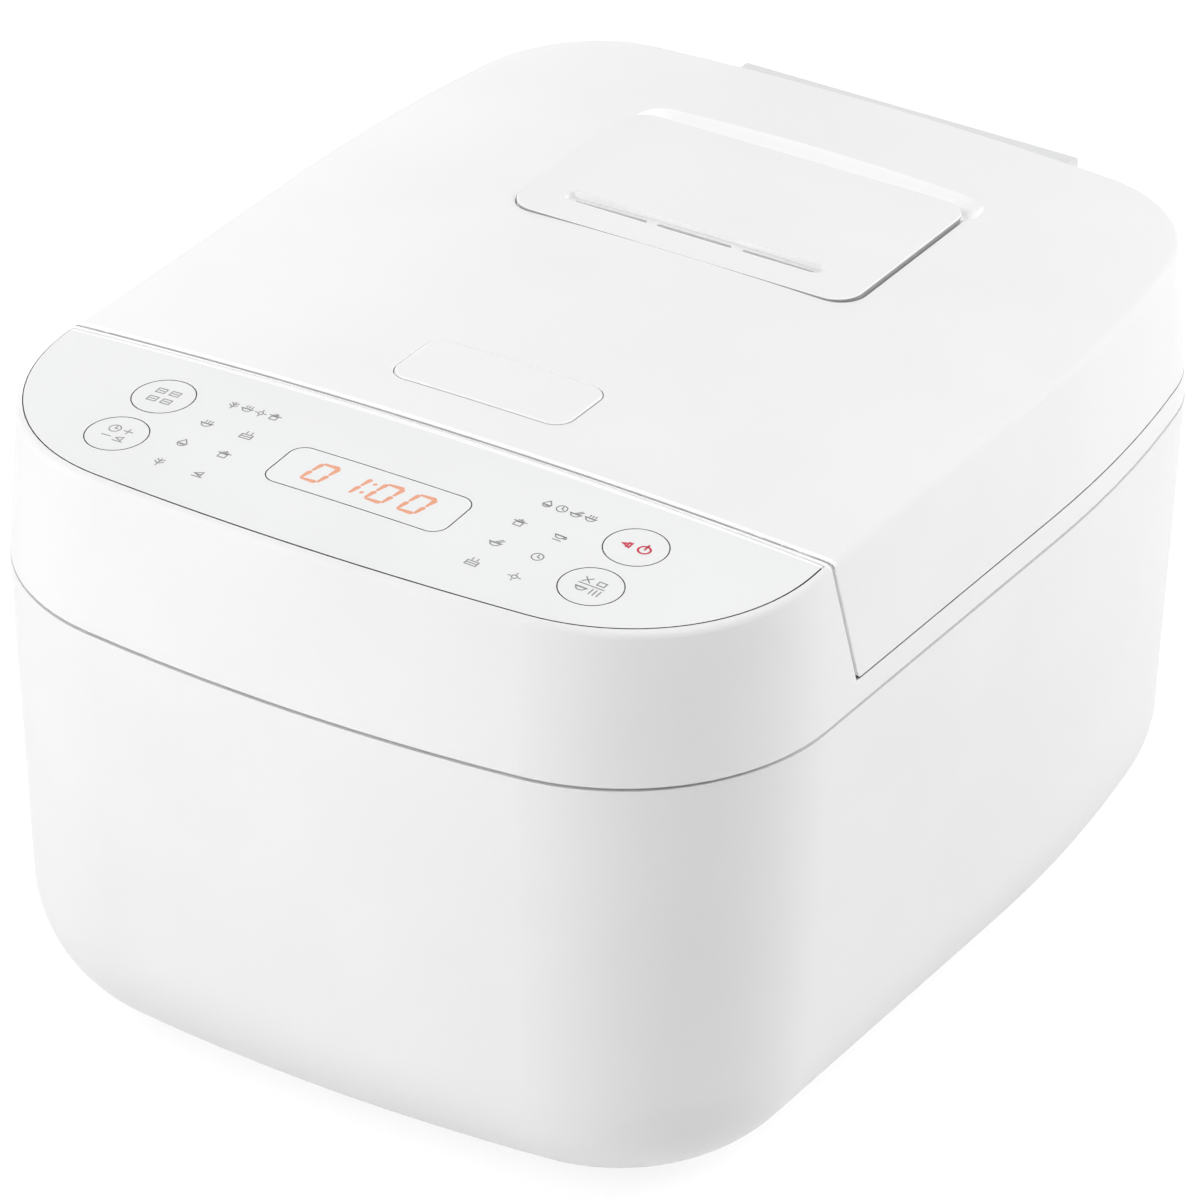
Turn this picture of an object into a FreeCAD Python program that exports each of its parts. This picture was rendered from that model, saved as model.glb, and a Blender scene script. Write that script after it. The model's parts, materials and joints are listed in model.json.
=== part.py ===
import FreeCAD
import Part
import math
import os

V = FreeCAD.Vector

# Overall sizes, in millimetres. The front faces -Y and +Z is up.
body_width = 260.0
body_depth = 319.0
body_height = 201.0
hinge_reach = 15.0
upper_height = 54.5

# Body outline, seen from above
front_radius = 600.0
front_corner = 66.0
side_bow_radius = 458.0
side_bow_angle = 10.75
rear_corner = 43.6
rear_radius = 4000.0
rear_corner_shrink = 0.65

# Walls and gaps
wall = 2.6
lid_wall = 2.4
liner_wall = 0.8
seam_gap = 1.0
split_gap = 0.45
trim_gap = 0.35
seat_gap = 0.3
bed_gap = 0.1
screw_gap = 0.05

# Lower shell and base
shell_draft = 4.2
bottom_round_in = 40.0
bottom_round_up = 42.5
bottom_round_steps = (0.0, 8.0, 20.0, 35.0, 50.0, 65.0, 80.0, 90.0)
foot_height = 2.0
foot_radius = 9.0
foot_plug_radius = 3.0
base_thickness = 2.6
base_lap = 13.0
base_slot_count = 7
base_slot_pitch = 9.0
base_slot_size = (3.0, 34.0)

# Upper body
top_draft = 3.3
crown_radius = 1733.0
panel_tilt = 2.95
panel_depth = 76.2
split_slope = 12.3
strip_height = 8.5
deck_thickness = 3.0
rim_round = 2.6
split_round = 1.0
lid_round = 2.4
lid_front_round = 0.5
lid_corner_round = 2.0
lid_seat_gap = 0.5
lip_depth = 8.0
lip_thickness = 1.8

# Control panel, keys and display, placed from the lid split
panel_inset = 4.7
panel_thickness = 2.0
shelf_thickness = 2.4
key_radius = 9.1
key_side_room = 51.4
key_back = 23.1
key_front = 46.2
key_travel = 0.7
key_flange = 1.3
key_flange_thickness = 1.2
key_stem_radius = 2.5
display_back = 37.2
display_size = (60.0, 20.4)
display_corner = 5.0
board_drop = 13.5
board_thickness = 1.6
board_margin = 11.0
switch_size = 6.2
switch_height = 4.6
switch_plunger = (1.7, 0.9)
key_clearance = 0.2

# Pot, well and heater
pot_side_room = 32.5
pot_depth_room = 17.75
pot_wall = 2.0
pot_flange = 6.0
pot_flange_thickness = 1.8
pot_bottom_round = 28.0
pot_rim_drop = 2.4
well_gap = 0.9
ring_width = 6.5
ring_height = 9.5
plate_top_z = 47.0
plate_thickness = 10.0
plate_radius_room = 23.0
plate_post_radius = 5.0
liner_floor_drop = 12.5
liner_flange = 7.0
element_tube = 3.6
element_ring_room = 20.0
element_gap_angle = 40.0
terminal_radius = 2.6
terminal_length = 15.0
sensor_radius = 16.5
sensor_height = 8.0
sensor_gap = 1.0
sensor_travel = 3.0
bracket_drop = 30.0
bracket_width = 24.0
bracket_thickness = 1.4
fuse_size = (2.5, 16.0)

# Lid
frame_thickness = 3.0
lid_plate_thickness = 1.2
seal_width = 4.4
seal_drop = 3.1
lid_post_radius = 4.5
lid_probe_radius = 5.0
lid_probe_height = 12.0

# Steam vent, placed from the rear wall
vent_pocket_size = (118.2, 71.8)
vent_pocket_side = -0.8
vent_rear_room = 46.8
vent_corner = 9.0
vent_left_gap = 0.5
vent_right_gap = 1.2
vent_end_gap = 0.4
vent_cover_depth = 9.0
vent_pocket_floor = 30.0
vent_skin = 2.4
vent_tub_wall = 1.6
vent_slot_size = (88.0, 5.6)
vent_slot_depth = 1.5
vent_slot_front = 14.0
vent_slot_side = -3.3
vent_slit_size = (25.5, 2.0)
vent_slit_pitch = 29.0
vent_spigot_radius = 9.0
vent_seal_width = 1.6
vent_round = 0.4
scoop_length = 8.3
scoop_depth = 4.5
scoop_corners = (9.0, 4.0)
scoop_front = 10.0
scoop_slope = 8.0
scoop_overlap = 4.0
scoop_backing = 5.0

# Release button, latch and springs
button_size = (59.0, 25.4)
button_back = 18.4
button_side = -1.4
button_corner = 6.0
button_travel = 3.0
button_gap = 0.4
button_proud = 0.4
button_skirt = 6.0
button_round = 0.8
latch_width = 28.0
latch_thickness = 4.0
latch_nose = 0.5
latch_length = 36.0
latch_ramp = 8.0
stem_width = 16.0
spring_wire = 0.5
button_spring_radius = 3.4
button_spring_side = 20.0
button_spring_length = 12.0
latch_spring_radius = 1.6
latch_spring_length = 10.0

# Hinge
hinge_drop = 24.0
pin_radius = 3.0
pin_running_gap = 0.08
barrel_radius = 7.0
ear_width = 7.0
ear_gap = 0.7
tail_half = 57.5
tail_drop = 14.3
tail_round = 1.5
tail_sweep = 17.5
hinge_spring_radius = 4.0
hinge_spring_turns = 8
hinge_spring_pitch = 2.4
hinge_spring_side = 14.0

# Power parts
power_board_size = (116.0, 66.0)
power_board_back = 63.0
power_board_z = 13.0
power_post = (8.0, 46.0)
inlet_side_room = 58.0
inlet_z = 76.0
inlet_body = (30.0, 24.0, 24.0)
inlet_flange = (46.0, 28.0, 1.8)
inlet_cavity = (24.4, 16.8, 17.0)
inlet_pin = (2.0, 4.0, 14.0)
inlet_pin_pitch = 7.0
inlet_screw_pitch = 38.0
screw_radius = 1.6
screw_head = (3.1, 1.4)
screw_length = 9.0
lead_radius = 2.6
lead_wall_room = 7.2
ribbon_size = (18.0, 0.9)

# Places worked out from the sizes above
half_width = body_width / 2
front_y = -(body_depth + hinge_reach) / 2
rear_y = front_y + body_depth
lid_top_z = body_height
seam_z = body_height - upper_height
collar_low_z = seam_z + seam_gap
strip_z = seam_z + strip_height
lid_edge_z = strip_z + lid_seat_gap
shell_low_z = foot_height
floor_z = shell_low_z + wall
base_top_z = floor_z + base_thickness
split_top_y = front_y + panel_depth
split_low_y = split_top_y + split_slope
panel_rear_y = split_top_y - split_gap - 1.2
base_inset = shell_draft + bottom_round_in + 1.0
opening_inset = base_inset + base_lap
reach = 3 * max(body_width, body_depth)

pot_radius = min(half_width - pot_side_room, (rear_y - split_low_y) / 2 - pot_depth_room)
pot_outer = pot_radius + pot_wall
pot_y = (rear_y + split_low_y) / 2
pot_rim_z = strip_z - pot_rim_drop
pot_seat_z = pot_rim_z - pot_flange_thickness
flange_outer = pot_outer + pot_flange
recess_radius = flange_outer + 1.0
ring_radius = recess_radius + ring_width
well_radius = pot_outer + well_gap
ring_low_z = strip_z - ring_height
liner_floor_z = plate_top_z - liner_floor_drop
plate_radius = pot_radius - plate_radius_room
element_radius = plate_radius - element_ring_room
bracket_z = plate_top_z - bracket_drop

frame_low_z = lid_edge_z + 0.5
frame_top_z = frame_low_z + frame_thickness
lid_plate_radius = pot_radius + 1.5
seal_outer = lid_plate_radius + 0.4 + seal_width

key_x = half_width - key_side_room
key_places = {
    "key_menu": (-key_x, split_top_y - key_back),
    "key_timer": (-key_x, split_top_y - key_front),
    "key_start": (key_x, split_top_y - key_back),
    "key_cancel": (key_x, split_top_y - key_front),
}
display_y = split_top_y - display_back
board_top_z = lid_top_z - board_drop
board_low_z = board_top_z - board_thickness

vent_y = rear_y - vent_rear_room - vent_pocket_size[1] / 2
vent_x = vent_pocket_side + (vent_left_gap - vent_right_gap) / 2
vent_floor_z = lid_top_z - vent_pocket_floor
vent_seal_outer = vent_spigot_radius + vent_seal_width
vent_hole_radius = vent_seal_outer + seat_gap
button_y = split_top_y + button_back + button_size[1] / 2
latch_low_z = frame_top_z + seat_gap
latch_top_z = latch_low_z + latch_thickness
hinge_y = rear_y + hinge_reach / 2
hinge_z = lid_top_z - hinge_drop
ear_inner = tail_half + ear_gap
ear_outer = ear_inner + ear_width
inlet_x = half_width - inlet_side_room
power_board_y = front_y + power_board_back


def box(x0, x1, y0, y1, z0, z1):
    return Part.makeBox(x1 - x0, y1 - y0, z1 - z0, V(x0, y0, z0))


def rod(x, y, radius, z0, z1):
    return Part.makeCylinder(radius, z1 - z0, V(x, y, z0))


def rod_y(x, z, radius, y0, y1):
    return Part.makeCylinder(radius, y1 - y0, V(x, y0, z), V(0, 1, 0))


def rod_x(y, z, radius, x0, x1):
    return Part.makeCylinder(radius, x1 - x0, V(x0, y, z), V(1, 0, 0))


def side_profile(points, x0, x1):
    corners = [V(x0, y, z) for y, z in points]
    face = Part.Face(Part.makePolygon(corners + corners[:1]))
    return face.extrude(V(x1 - x0, 0, 0))


def rounded_plate(x, y, size, corner, z0, z1):
    plate = box(x - size[0] / 2, x + size[0] / 2, y - size[1] / 2, y + size[1] / 2, z0, z1)
    upright = [e for e in plate.Edges if abs(e.tangentAt(e.FirstParameter).z) > 0.9]
    return plate.makeFillet(corner, upright)


def turned(points, x, y):
    wire = Part.makePolygon([V(x + r, y, z) for r, z in points + points[:1]])
    return Part.Face(wire).revolve(V(x, y, 0), V(0, 0, 1), 360)


def mirrored_pair(shape):
    return [shape, shape.mirror(V(0, 0, 0), V(1, 0, 0))]


def arc_between(centre, radius, angle0, angle1, z):
    points = []
    for angle in (angle0, (angle0 + angle1) / 2, angle1):
        turn = math.radians(angle)
        points.append(V(centre[0] + radius * math.cos(turn), centre[1] + radius * math.sin(turn), z))
    return Part.Arc(*points).toShape()


def angle_to(origin, point):
    return math.degrees(math.atan2(point[1] - origin[1], point[0] - origin[0]))


def outline(inset, z):
    """The body's outline at height z, drawn in by inset: ten tangent arcs and lines."""
    half = half_width - inset
    front_r = front_radius - inset
    corner_r = front_corner - inset
    bow_r = side_bow_radius - inset
    rear_r = rear_corner - inset * rear_corner_shrink
    back_r = rear_radius - inset
    front_centre = (0, front_y + front_radius)
    back_centre = (0, rear_y - rear_radius)
    corner_x = half - corner_r
    corner = (corner_x, front_centre[1] - math.sqrt((front_r - corner_r) ** 2 - corner_x ** 2))
    bow = math.radians(side_bow_angle)
    rear_x = half - bow_r + (bow_r - rear_r) * math.cos(bow)
    rear = (rear_x, back_centre[1] + math.sqrt((back_r - rear_r) ** 2 - rear_x ** 2))
    bow_centre = (half - bow_r, rear[1] - (bow_r - rear_r) * math.sin(bow))
    front_angle = angle_to(front_centre, corner)
    back_angle = angle_to(back_centre, rear)
    edges = [
        arc_between(front_centre, front_r, -180 - front_angle, front_angle, z),
        arc_between(corner, corner_r, front_angle, 0, z),
        Part.makeLine(V(half, corner[1], z), V(half, bow_centre[1], z)),
        arc_between(bow_centre, bow_r, 0, side_bow_angle, z),
        arc_between(rear, rear_r, side_bow_angle, back_angle, z),
        arc_between(back_centre, back_r, back_angle, 180 - back_angle, z),
        arc_between((-rear[0], rear[1]), rear_r, 180 - back_angle, 180 - side_bow_angle, z),
        arc_between((-bow_centre[0], bow_centre[1]), bow_r, 180 - side_bow_angle, 180, z),
        Part.makeLine(V(-half, bow_centre[1], z), V(-half, corner[1], z)),
        arc_between((-corner[0], corner[1]), corner_r, 180, 180 - front_angle, z),
    ]
    return Part.Wire(edges)


def prism(inset, z0, z1):
    return Part.Face(outline(inset, z0)).extrude(V(0, 0, z1 - z0))


def upper_block(inset, z0, z1):
    """The drafted upper body between two heights."""
    wires = []
    for z in (z0, z1):
        wires.append(outline(inset + top_draft * (z - seam_z) / upper_height, z))
    return Part.makeLoft(wires, True, True)


def lower_block(inset):
    """The lower body drawn in by inset: drafted wall above a wide bottom rounding."""
    round_top = shell_low_z + bottom_round_up
    wires = []
    for step in bottom_round_steps:
        turn = math.radians(step)
        drawn_in = shell_draft + inset + (bottom_round_in - inset) * (1 - math.cos(turn))
        height = shell_low_z + inset + (bottom_round_up - inset) * (1 - math.sin(turn))
        wires.append(outline(drawn_in, height))
    rounding = Part.makeLoft(wires, True, False)
    side = Part.makeLoft([outline(shell_draft + inset, round_top), outline(inset, seam_z)], True, True)
    return side.fuse(rounding)


def under_crown(drop):
    """Everything below the lid's crowned top, lowered by drop."""
    centre = V(0, -reach, lid_top_z - crown_radius)
    round_bar = Part.makeCylinder(crown_radius - drop, 2 * reach, centre, V(0, 1, 0))
    round_bar.rotate(centre, V(0, 1, 0), 180)
    return round_bar


def tilted(shape):
    turned_shape = shape.copy()
    turned_shape.rotate(V(0, split_top_y, lid_top_z), V(1, 0, 0), panel_tilt)
    return turned_shape


def split_side(offset, y_far):
    """The space on one side of the slanted split between the control housing and the lid."""
    slope = split_slope / (lid_top_z - strip_z)
    high = lid_top_z + reach
    top = (split_top_y + offset - slope * reach, high)
    low = (split_low_y + offset + slope * strip_z, 0)
    return side_profile([low, top, (y_far, high), (y_far, 0)], -reach, reach)


def in_front(offset):
    return split_side(-offset, -2 * reach)


def behind(offset):
    return split_side(offset, 2 * reach)


def crown_edges(shape):
    """Edges round the crowned top face, without those along the split."""
    around = []
    along_split = []
    for edge in crown_face_edges(shape):
        near = abs(edge.BoundBox.YMin - split_top_y) < 2 * split_gap
        chosen = along_split if near and edge.BoundBox.XLength > half_width else around
        chosen.append(edge)
    return around, along_split


def crown_face_edges(shape):
    """Every edge of the faces that lie on the crown."""
    crowned = [f for f in shape.Faces if getattr(f.Surface, "Radius", 0) == crown_radius]
    return [e for f in crowned for e in f.Edges]


def top_edges(plate):
    """Edges round the top of a cap that lies in the lid."""
    return [e for e in plate.Edges if e.BoundBox.ZMin > lid_top_z - 1]


def coil(radius, wire, turns, pitch):
    """A spring round +Z from z = 0, made of quarter-turn arcs."""
    def at(quarter):
        turn = quarter * math.pi / 2
        return V(radius * math.cos(turn), radius * math.sin(turn), wire + pitch * quarter / 4)
    arcs = [Part.Arc(at(q), at(q + 0.5), at(q + 1)).toShape() for q in range(4 * turns)]
    section = Part.Wire(Part.makeCircle(wire, at(0), V(0, 1, pitch / (2 * math.pi * radius))))
    print("gap between spring turns", round(pitch - 2 * wire, 2))
    return Part.Wire(arcs).makePipeShell([section], True, False)


def tube(points, radius, bend):
    """A round lead along straight runs joined by tangent arcs."""
    corners = [V(*p) for p in points]
    edges = []
    start = corners[0]
    for before, here, after in zip(corners, corners[1:], corners[2:]):
        arrive = (here - before).normalize()
        leave = (after - here).normalize()
        half_turn = arrive.getAngle(leave) / 2
        back = bend * math.tan(half_turn)
        first = here - arrive * back
        last = here + leave * back
        middle = here + (leave - arrive).normalize() * bend * (1 / math.cos(half_turn) - 1)
        edges += [Part.makeLine(start, first), Part.Arc(first, middle, last).toShape()]
        start = last
    edges.append(Part.makeLine(start, corners[-1]))
    section = Part.Wire(Part.makeCircle(radius, corners[0], corners[1] - corners[0]))
    return Part.Wire(edges).makePipeShell([section], True, False)


def screw(x, y, z, length):
    """A pan-head screw driven upwards, its head resting under height z."""
    return rod(x, y, screw_head[0], z - screw_head[1], z).fuse(rod(x, y, screw_radius, z, z + length))


def screw_hole(x, y, z0, z1):
    return rod(x, y, screw_radius + screw_gap, z0, z1)


def base_screw_places():
    inset = base_inset + base_lap / 2
    side = half_width - inset
    step = pot_radius / 2
    places = [(s * side, pot_y - pot_radius / 2 + t * step) for s in (-1, 1) for t in (-0.5, 0.5)]
    return places + [(s * step / 2, rear_y - inset) for s in (-1, 1)]


def foot_places():
    x = half_width - opening_inset - 1.6 * foot_radius
    front = front_y + opening_inset + 1.6 * foot_radius
    back = rear_y - opening_inset - 1.6 * foot_radius
    return [(s * x, y) for s in (-1, 1) for y in (front, back)]


def outer_shell():
    shell = lower_block(0).cut(lower_block(wall))
    shell = shell.cut(prism(opening_inset, 0, floor_z + wall))
    for x, y in base_screw_places():
        shell = shell.cut(screw_hole(x, y, 0, floor_z + 1))
        shell = shell.cut(rod(x, y, screw_head[0] + seat_gap, 0, shell_low_z + screw_head[1]))
    width, height, depth = inlet_body
    gap = seat_gap
    mouth = box(inlet_x - width / 2 - gap, inlet_x + width / 2 + gap, rear_y - depth, rear_y + 1,
                inlet_z - height / 2 - gap, inlet_z + height / 2 + gap)
    shell = shell.cut(mouth)
    for side in (-1, 1):
        x = inlet_x + side * inlet_screw_pitch / 2
        shell = shell.cut(rod_y(x, inlet_z, screw_radius + screw_gap, rear_y - depth, rear_y))
    return shell


def base_plate():
    plug = prism(opening_inset + trim_gap, foot_height, floor_z + 0.5)
    plate = prism(base_inset, floor_z, base_top_z).fuse(plug)
    for x, y in foot_places():
        plate = plate.cut(rod(x, y, foot_plug_radius + screw_gap, 0, base_top_z + 1))
    for x, y in base_screw_places():
        plate = plate.fuse(rod(x, y, 2.2 * screw_radius, base_top_z - 0.5, base_top_z + screw_length))
        plate = plate.cut(screw_hole(x, y, 0, base_top_z + screw_length - 1))
    width, length = base_slot_size
    for index in range(base_slot_count):
        x = (index - (base_slot_count - 1) / 2) * base_slot_pitch
        slot = rounded_plate(x, pot_y, (width, length), width / 2 - 0.01, 0, base_top_z + 1)
        plate = plate.cut(slot)
    side, height = power_post
    for s in (-1, 1):
        x = s * power_board_size[0] / 3
        y = power_board_y + board_thickness
        post = box(x - side / 2, x + side / 2, y, y + side, base_top_z - 0.5, power_board_z + height)
        plate = plate.fuse(post)
    for x, z in power_screw_places():
        hole = rod_y(x, z, screw_radius + screw_gap, power_board_y, power_board_y + screw_length)
        plate = plate.cut(hole)
    return plate


def rubber_feet():
    feet = []
    for x, y in foot_places():
        foot = rod(x, y, foot_radius, 0, foot_height)
        foot = foot.makeFillet(foot_height / 3, [e for e in foot.Edges if e.BoundBox.ZMax < 0.1])
        feet.append(foot.fuse(rod(x, y, foot_plug_radius, foot_height, base_top_z + 1.5)))
    return feet


def base_screws():
    head_z = shell_low_z + screw_head[1]
    return [screw(x, y, head_z, screw_length) for x, y in base_screw_places()]


def panel_prism(inset):
    block = prism(inset, lid_top_z - upper_height, lid_top_z + 10)
    return block.common(box(-reach, reach, -reach, panel_rear_y + (panel_inset - inset), 0, reach))


def control_housing():
    """The tall front of the collar, with its rim rounded."""
    block = upper_block(0, collar_low_z, lid_top_z + 10)
    housing = block.common(tilted(under_crown(0))).common(in_front(split_gap))
    housing = housing.makeFillet(rim_round, crown_edges(housing)[0])
    return housing.makeFillet(split_round, crown_edges(housing)[1])


def collar_cavity():
    low = upper_block(wall, collar_low_z - 1, strip_z - deck_thickness)
    tall = upper_block(wall, collar_low_z - 1, lid_top_z + 10)
    roof = tilted(under_crown(panel_thickness + shelf_thickness))
    return low.fuse(tall.common(roof).common(in_front(split_gap + wall)))


def collar_lip():
    """A lip that reaches down inside the shell and lines the two up."""
    inset = wall + 3 * seat_gap
    ring = prism(wall / 2, collar_low_z, collar_low_z + lip_thickness)
    ring = ring.fuse(prism(inset, seam_z - lip_depth, collar_low_z + lip_thickness))
    return ring.cut(prism(inset + lip_thickness, seam_z - lip_depth - 1, collar_low_z + lip_thickness + 1))


def hinge_ear():
    """One arm of the hinge: a web behind the lid and a barrel round the pin."""
    front = hinge_y - barrel_radius
    web = side_profile([
        (rear_y - 2 * wall, collar_low_z + 0.4),
        (hinge_y + barrel_radius / 2, collar_low_z + 0.4),
        (hinge_y + barrel_radius - 0.1, hinge_z),
        (front + 0.1, hinge_z),
        (front + 0.1, strip_z),
        (rear_y - 2 * wall, strip_z),
    ], ear_inner, ear_outer)
    ear = web.fuse(rod_x(hinge_y, hinge_z, barrel_radius, ear_inner, ear_outer))
    return ear.cut(rod_x(hinge_y, hinge_z, pin_radius + screw_gap, ear_inner - 1, ear_outer - 1.5))


def hinge_bracket():
    """The block under the hinge tail that joins the two ears to the collar."""
    rear = rear_y + hinge_reach
    front = hinge_y - barrel_radius + 0.1
    top = hinge_z - tail_sweep
    return side_profile([
        (rear_y - 2 * wall, collar_low_z + 0.4),
        (hinge_y + barrel_radius / 2, collar_low_z + 0.4),
        (rear, strip_z),
        (rear, top),
        (front, top),
        (front, strip_z),
        (rear_y - 2 * wall, strip_z),
    ], -ear_outer, ear_outer)


def board_boss_places():
    x = key_x - 2.5 * key_radius
    return [(s * x, split_top_y - d) for s in (-1, 1) for d in (key_back, key_front)]


def top_collar():
    collar = control_housing().fuse(upper_block(0, collar_low_z, strip_z)).cut(collar_cavity())
    inside = upper_block(wall + 3 * seat_gap, ring_low_z, strip_z)
    collar = collar.fuse([rod(0, pot_y, ring_radius, ring_low_z, strip_z).common(inside), collar_lip()])
    collar = collar.cut(rod(0, pot_y, well_radius + liner_wall + seat_gap, 0, strip_z + 1))
    collar = collar.cut(rod(0, pot_y, recess_radius, pot_seat_z, strip_z + 1))
    bed = panel_prism(panel_inset - trim_gap).cut(under_crown(panel_thickness + bed_gap))
    openings = [bed]
    for x, y in key_places.values():
        openings.append(rod(x, y, key_radius + key_flange + seat_gap, board_top_z, lid_top_z))
    openings.append(rounded_plate(0, display_y, display_size, display_corner, board_top_z, lid_top_z))
    collar = collar.cut([tilted(s) for s in openings])
    for x, y in board_boss_places():
        boss = rod(x, y, 2.2 * screw_radius, board_top_z, lid_top_z)
        boss = tilted(boss.common(under_crown(panel_thickness + shelf_thickness - 0.5)))
        collar = collar.fuse(boss)
        collar = collar.cut(tilted(screw_hole(x, y, board_low_z, board_low_z + screw_length)))
    half = latch_width / 2 + 1
    catch = box(-half, half, split_low_y - 6 * wall, split_low_y + 1, latch_low_z - 1, latch_top_z + 1)
    collar = collar.cut(catch)
    return collar.fuse(mirrored_pair(hinge_ear()) + [hinge_bracket()])


def display_lens():
    size = (display_size[0] - 2 * trim_gap, display_size[1] - 2 * trim_gap)
    lens = rounded_plate(0, display_y, size, display_corner - trim_gap, board_top_z, lid_top_z + 5)
    return tilted(lens.common(under_crown(0)).cut(under_crown(panel_thickness)))


def control_panel():
    panel = panel_prism(panel_inset).common(under_crown(0)).cut(under_crown(panel_thickness))
    openings = [rod(x, y, key_radius + trim_gap, 0, reach) for x, y in key_places.values()]
    openings.append(rounded_plate(0, display_y, display_size, display_corner, board_top_z, reach))
    return tilted(panel.cut(openings))


def key_cap(x, y):
    """A round key: a flush cap, a flange that keeps it in, and a stem down to its switch."""
    cap = rod(x, y, key_radius, board_top_z, lid_top_z + 5).common(under_crown(0))
    flange = rod(x, y, key_radius + key_flange, board_top_z, lid_top_z)
    flange_drop = panel_thickness + key_travel / 2
    flange = flange.common(under_crown(flange_drop))
    key = cap.fuse(flange).cut(under_crown(flange_drop + key_flange_thickness))
    stem_low = board_top_z + switch_height + switch_plunger[1] + key_travel + key_clearance
    stem = rod(x, y, key_stem_radius, stem_low, lid_top_z).common(under_crown(flange_drop))
    return tilted(key.fuse(stem).removeSplitter())


def control_board():
    width = 2 * (key_x + board_margin)
    low = split_top_y - key_front - board_margin
    high = split_top_y - key_back + board_margin / 2
    board = box(-width / 2, width / 2, low, high, board_low_z, board_top_z)
    for x, y in board_boss_places():
        board = board.cut(screw_hole(x, y, board_low_z - 1, board_top_z + 1))
    return tilted(board).common(upper_block(wall + 2 * seat_gap, seam_z, lid_top_z))


def board_screws():
    return [tilted(screw(x, y, board_low_z, screw_length - 1)) for x, y in board_boss_places()]


def display_module():
    size = (display_size[0] - 2, display_size[1] - 2)
    block = rounded_plate(0, display_y, size, display_corner - 2, board_top_z, lid_top_z)
    return tilted(block.common(under_crown(panel_thickness + seat_gap)))


def key_switches():
    half = switch_size / 2
    switches = []
    for x, y in key_places.values():
        top = board_top_z + switch_height
        body = box(x - half, x + half, y - half, y + half, board_top_z, top)
        plunger = rod(x, y, switch_plunger[0], top, top + switch_plunger[1])
        switches.append(tilted(body.fuse(plunger)))
    return switches


def inner_pot():
    """A deep turned pot with a rounded bottom and a flat rim."""
    low = plate_top_z
    inner_round = pot_bottom_round - pot_wall
    body = rod(0, pot_y, pot_outer, low, pot_rim_z)
    body = body.makeFillet(pot_bottom_round, [e for e in body.Edges if e.BoundBox.ZMax < low + 0.1])
    flange = rod(0, pot_y, flange_outer, pot_seat_z, pot_rim_z)
    hollow = rod(0, pot_y, pot_radius, low + pot_wall, pot_rim_z + 1)
    floor_z = low + pot_wall + 0.1
    hollow = hollow.makeFillet(inner_round, [e for e in hollow.Edges if e.BoundBox.ZMax < floor_z])
    pot = body.fuse(flange).cut(hollow)
    wide = 2 * flange_outer - 1
    rim = [e for e in pot.Edges if e.BoundBox.XLength > wide or e.BoundBox.ZMin > pot_rim_z - 0.1]
    return pot.makeFillet(pot_flange_thickness / 3, rim)


def heat_liner():
    """The thin steel well that the pot hangs in."""
    outer = well_radius + liner_wall
    top = ring_low_z
    hole = plate_radius - 2 * plate_post_radius
    return turned([
        (hole, liner_floor_z - liner_wall),
        (outer, liner_floor_z - liner_wall),
        (outer, top - liner_wall),
        (outer + liner_flange, top - liner_wall),
        (outer + liner_flange, top),
        (well_radius, top),
        (well_radius, liner_floor_z),
        (hole, liner_floor_z),
    ], 0, pot_y)


def ring_arc(radius, tube_radius, z, gap_angle):
    """An open ring of round tube about the pot's axis."""
    turn = math.radians(gap_angle / 2)
    start = V(radius * math.sin(turn), pot_y - radius * math.cos(turn), z)
    section = Part.Face(Part.Wire(Part.makeCircle(tube_radius, start, V(math.cos(turn), math.sin(turn), 0))))
    return section.revolve(V(0, pot_y, z), V(0, 0, 1), 360 - gap_angle)


def terminal_places():
    turn = math.radians(element_gap_angle / 2) - (terminal_radius + seat_gap) / element_radius
    x = element_radius * math.sin(turn)
    return [(s * x, pot_y - element_radius * math.cos(turn)) for s in (-1, 1)]


def heating_plate():
    low = plate_top_z - plate_thickness
    plate = rod(0, pot_y, plate_radius, low, plate_top_z)
    plate = plate.makeChamfer(1.5, [e for e in plate.Edges if e.BoundBox.ZMin > plate_top_z - 0.1])
    plate = plate.cut(rod(0, pot_y, sensor_radius + sensor_gap, low - 1, plate_top_z + 1))
    plate = plate.cut(ring_arc(element_radius, element_tube + seat_gap, low, element_gap_angle - 10))
    reach_out = plate_radius - 1.5 * plate_post_radius
    for index in range(3):
        turn = math.radians(90 + 120 * index)
        x = reach_out * math.cos(turn)
        y = pot_y + reach_out * math.sin(turn)
        plate = plate.fuse(rod(x, y, plate_post_radius, liner_floor_z, low + 1))
    return plate


def heater_element():
    return ring_arc(element_radius, element_tube, plate_top_z - plate_thickness, element_gap_angle)


def heater_terminals():
    top = plate_top_z - plate_thickness
    return [rod(x, y, terminal_radius, top - terminal_length, top - 0.3) for x, y in terminal_places()]


def sensor_cap():
    low = plate_top_z - sensor_height
    cap = rod(0, pot_y, sensor_radius, low, plate_top_z)
    cap = cap.makeFillet(1.0, [e for e in cap.Edges if e.BoundBox.ZMin > plate_top_z - 0.1])
    guide_low = bracket_z + bracket_thickness + sensor_travel + 1
    return cap.fuse(rod(0, pot_y, sensor_radius / 3, guide_low, low + 0.5))


def sensor_spring_length():
    return plate_top_z - sensor_height - bracket_z - bracket_thickness


def sensor_spring():
    turns = 5
    pitch = (sensor_spring_length() - 2 * spring_wire - 0.2) / turns
    spring = coil(sensor_radius / 2, spring_wire, turns, pitch)
    spring.translate(V(0, pot_y, bracket_z + bracket_thickness + 0.1))
    return spring


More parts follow.
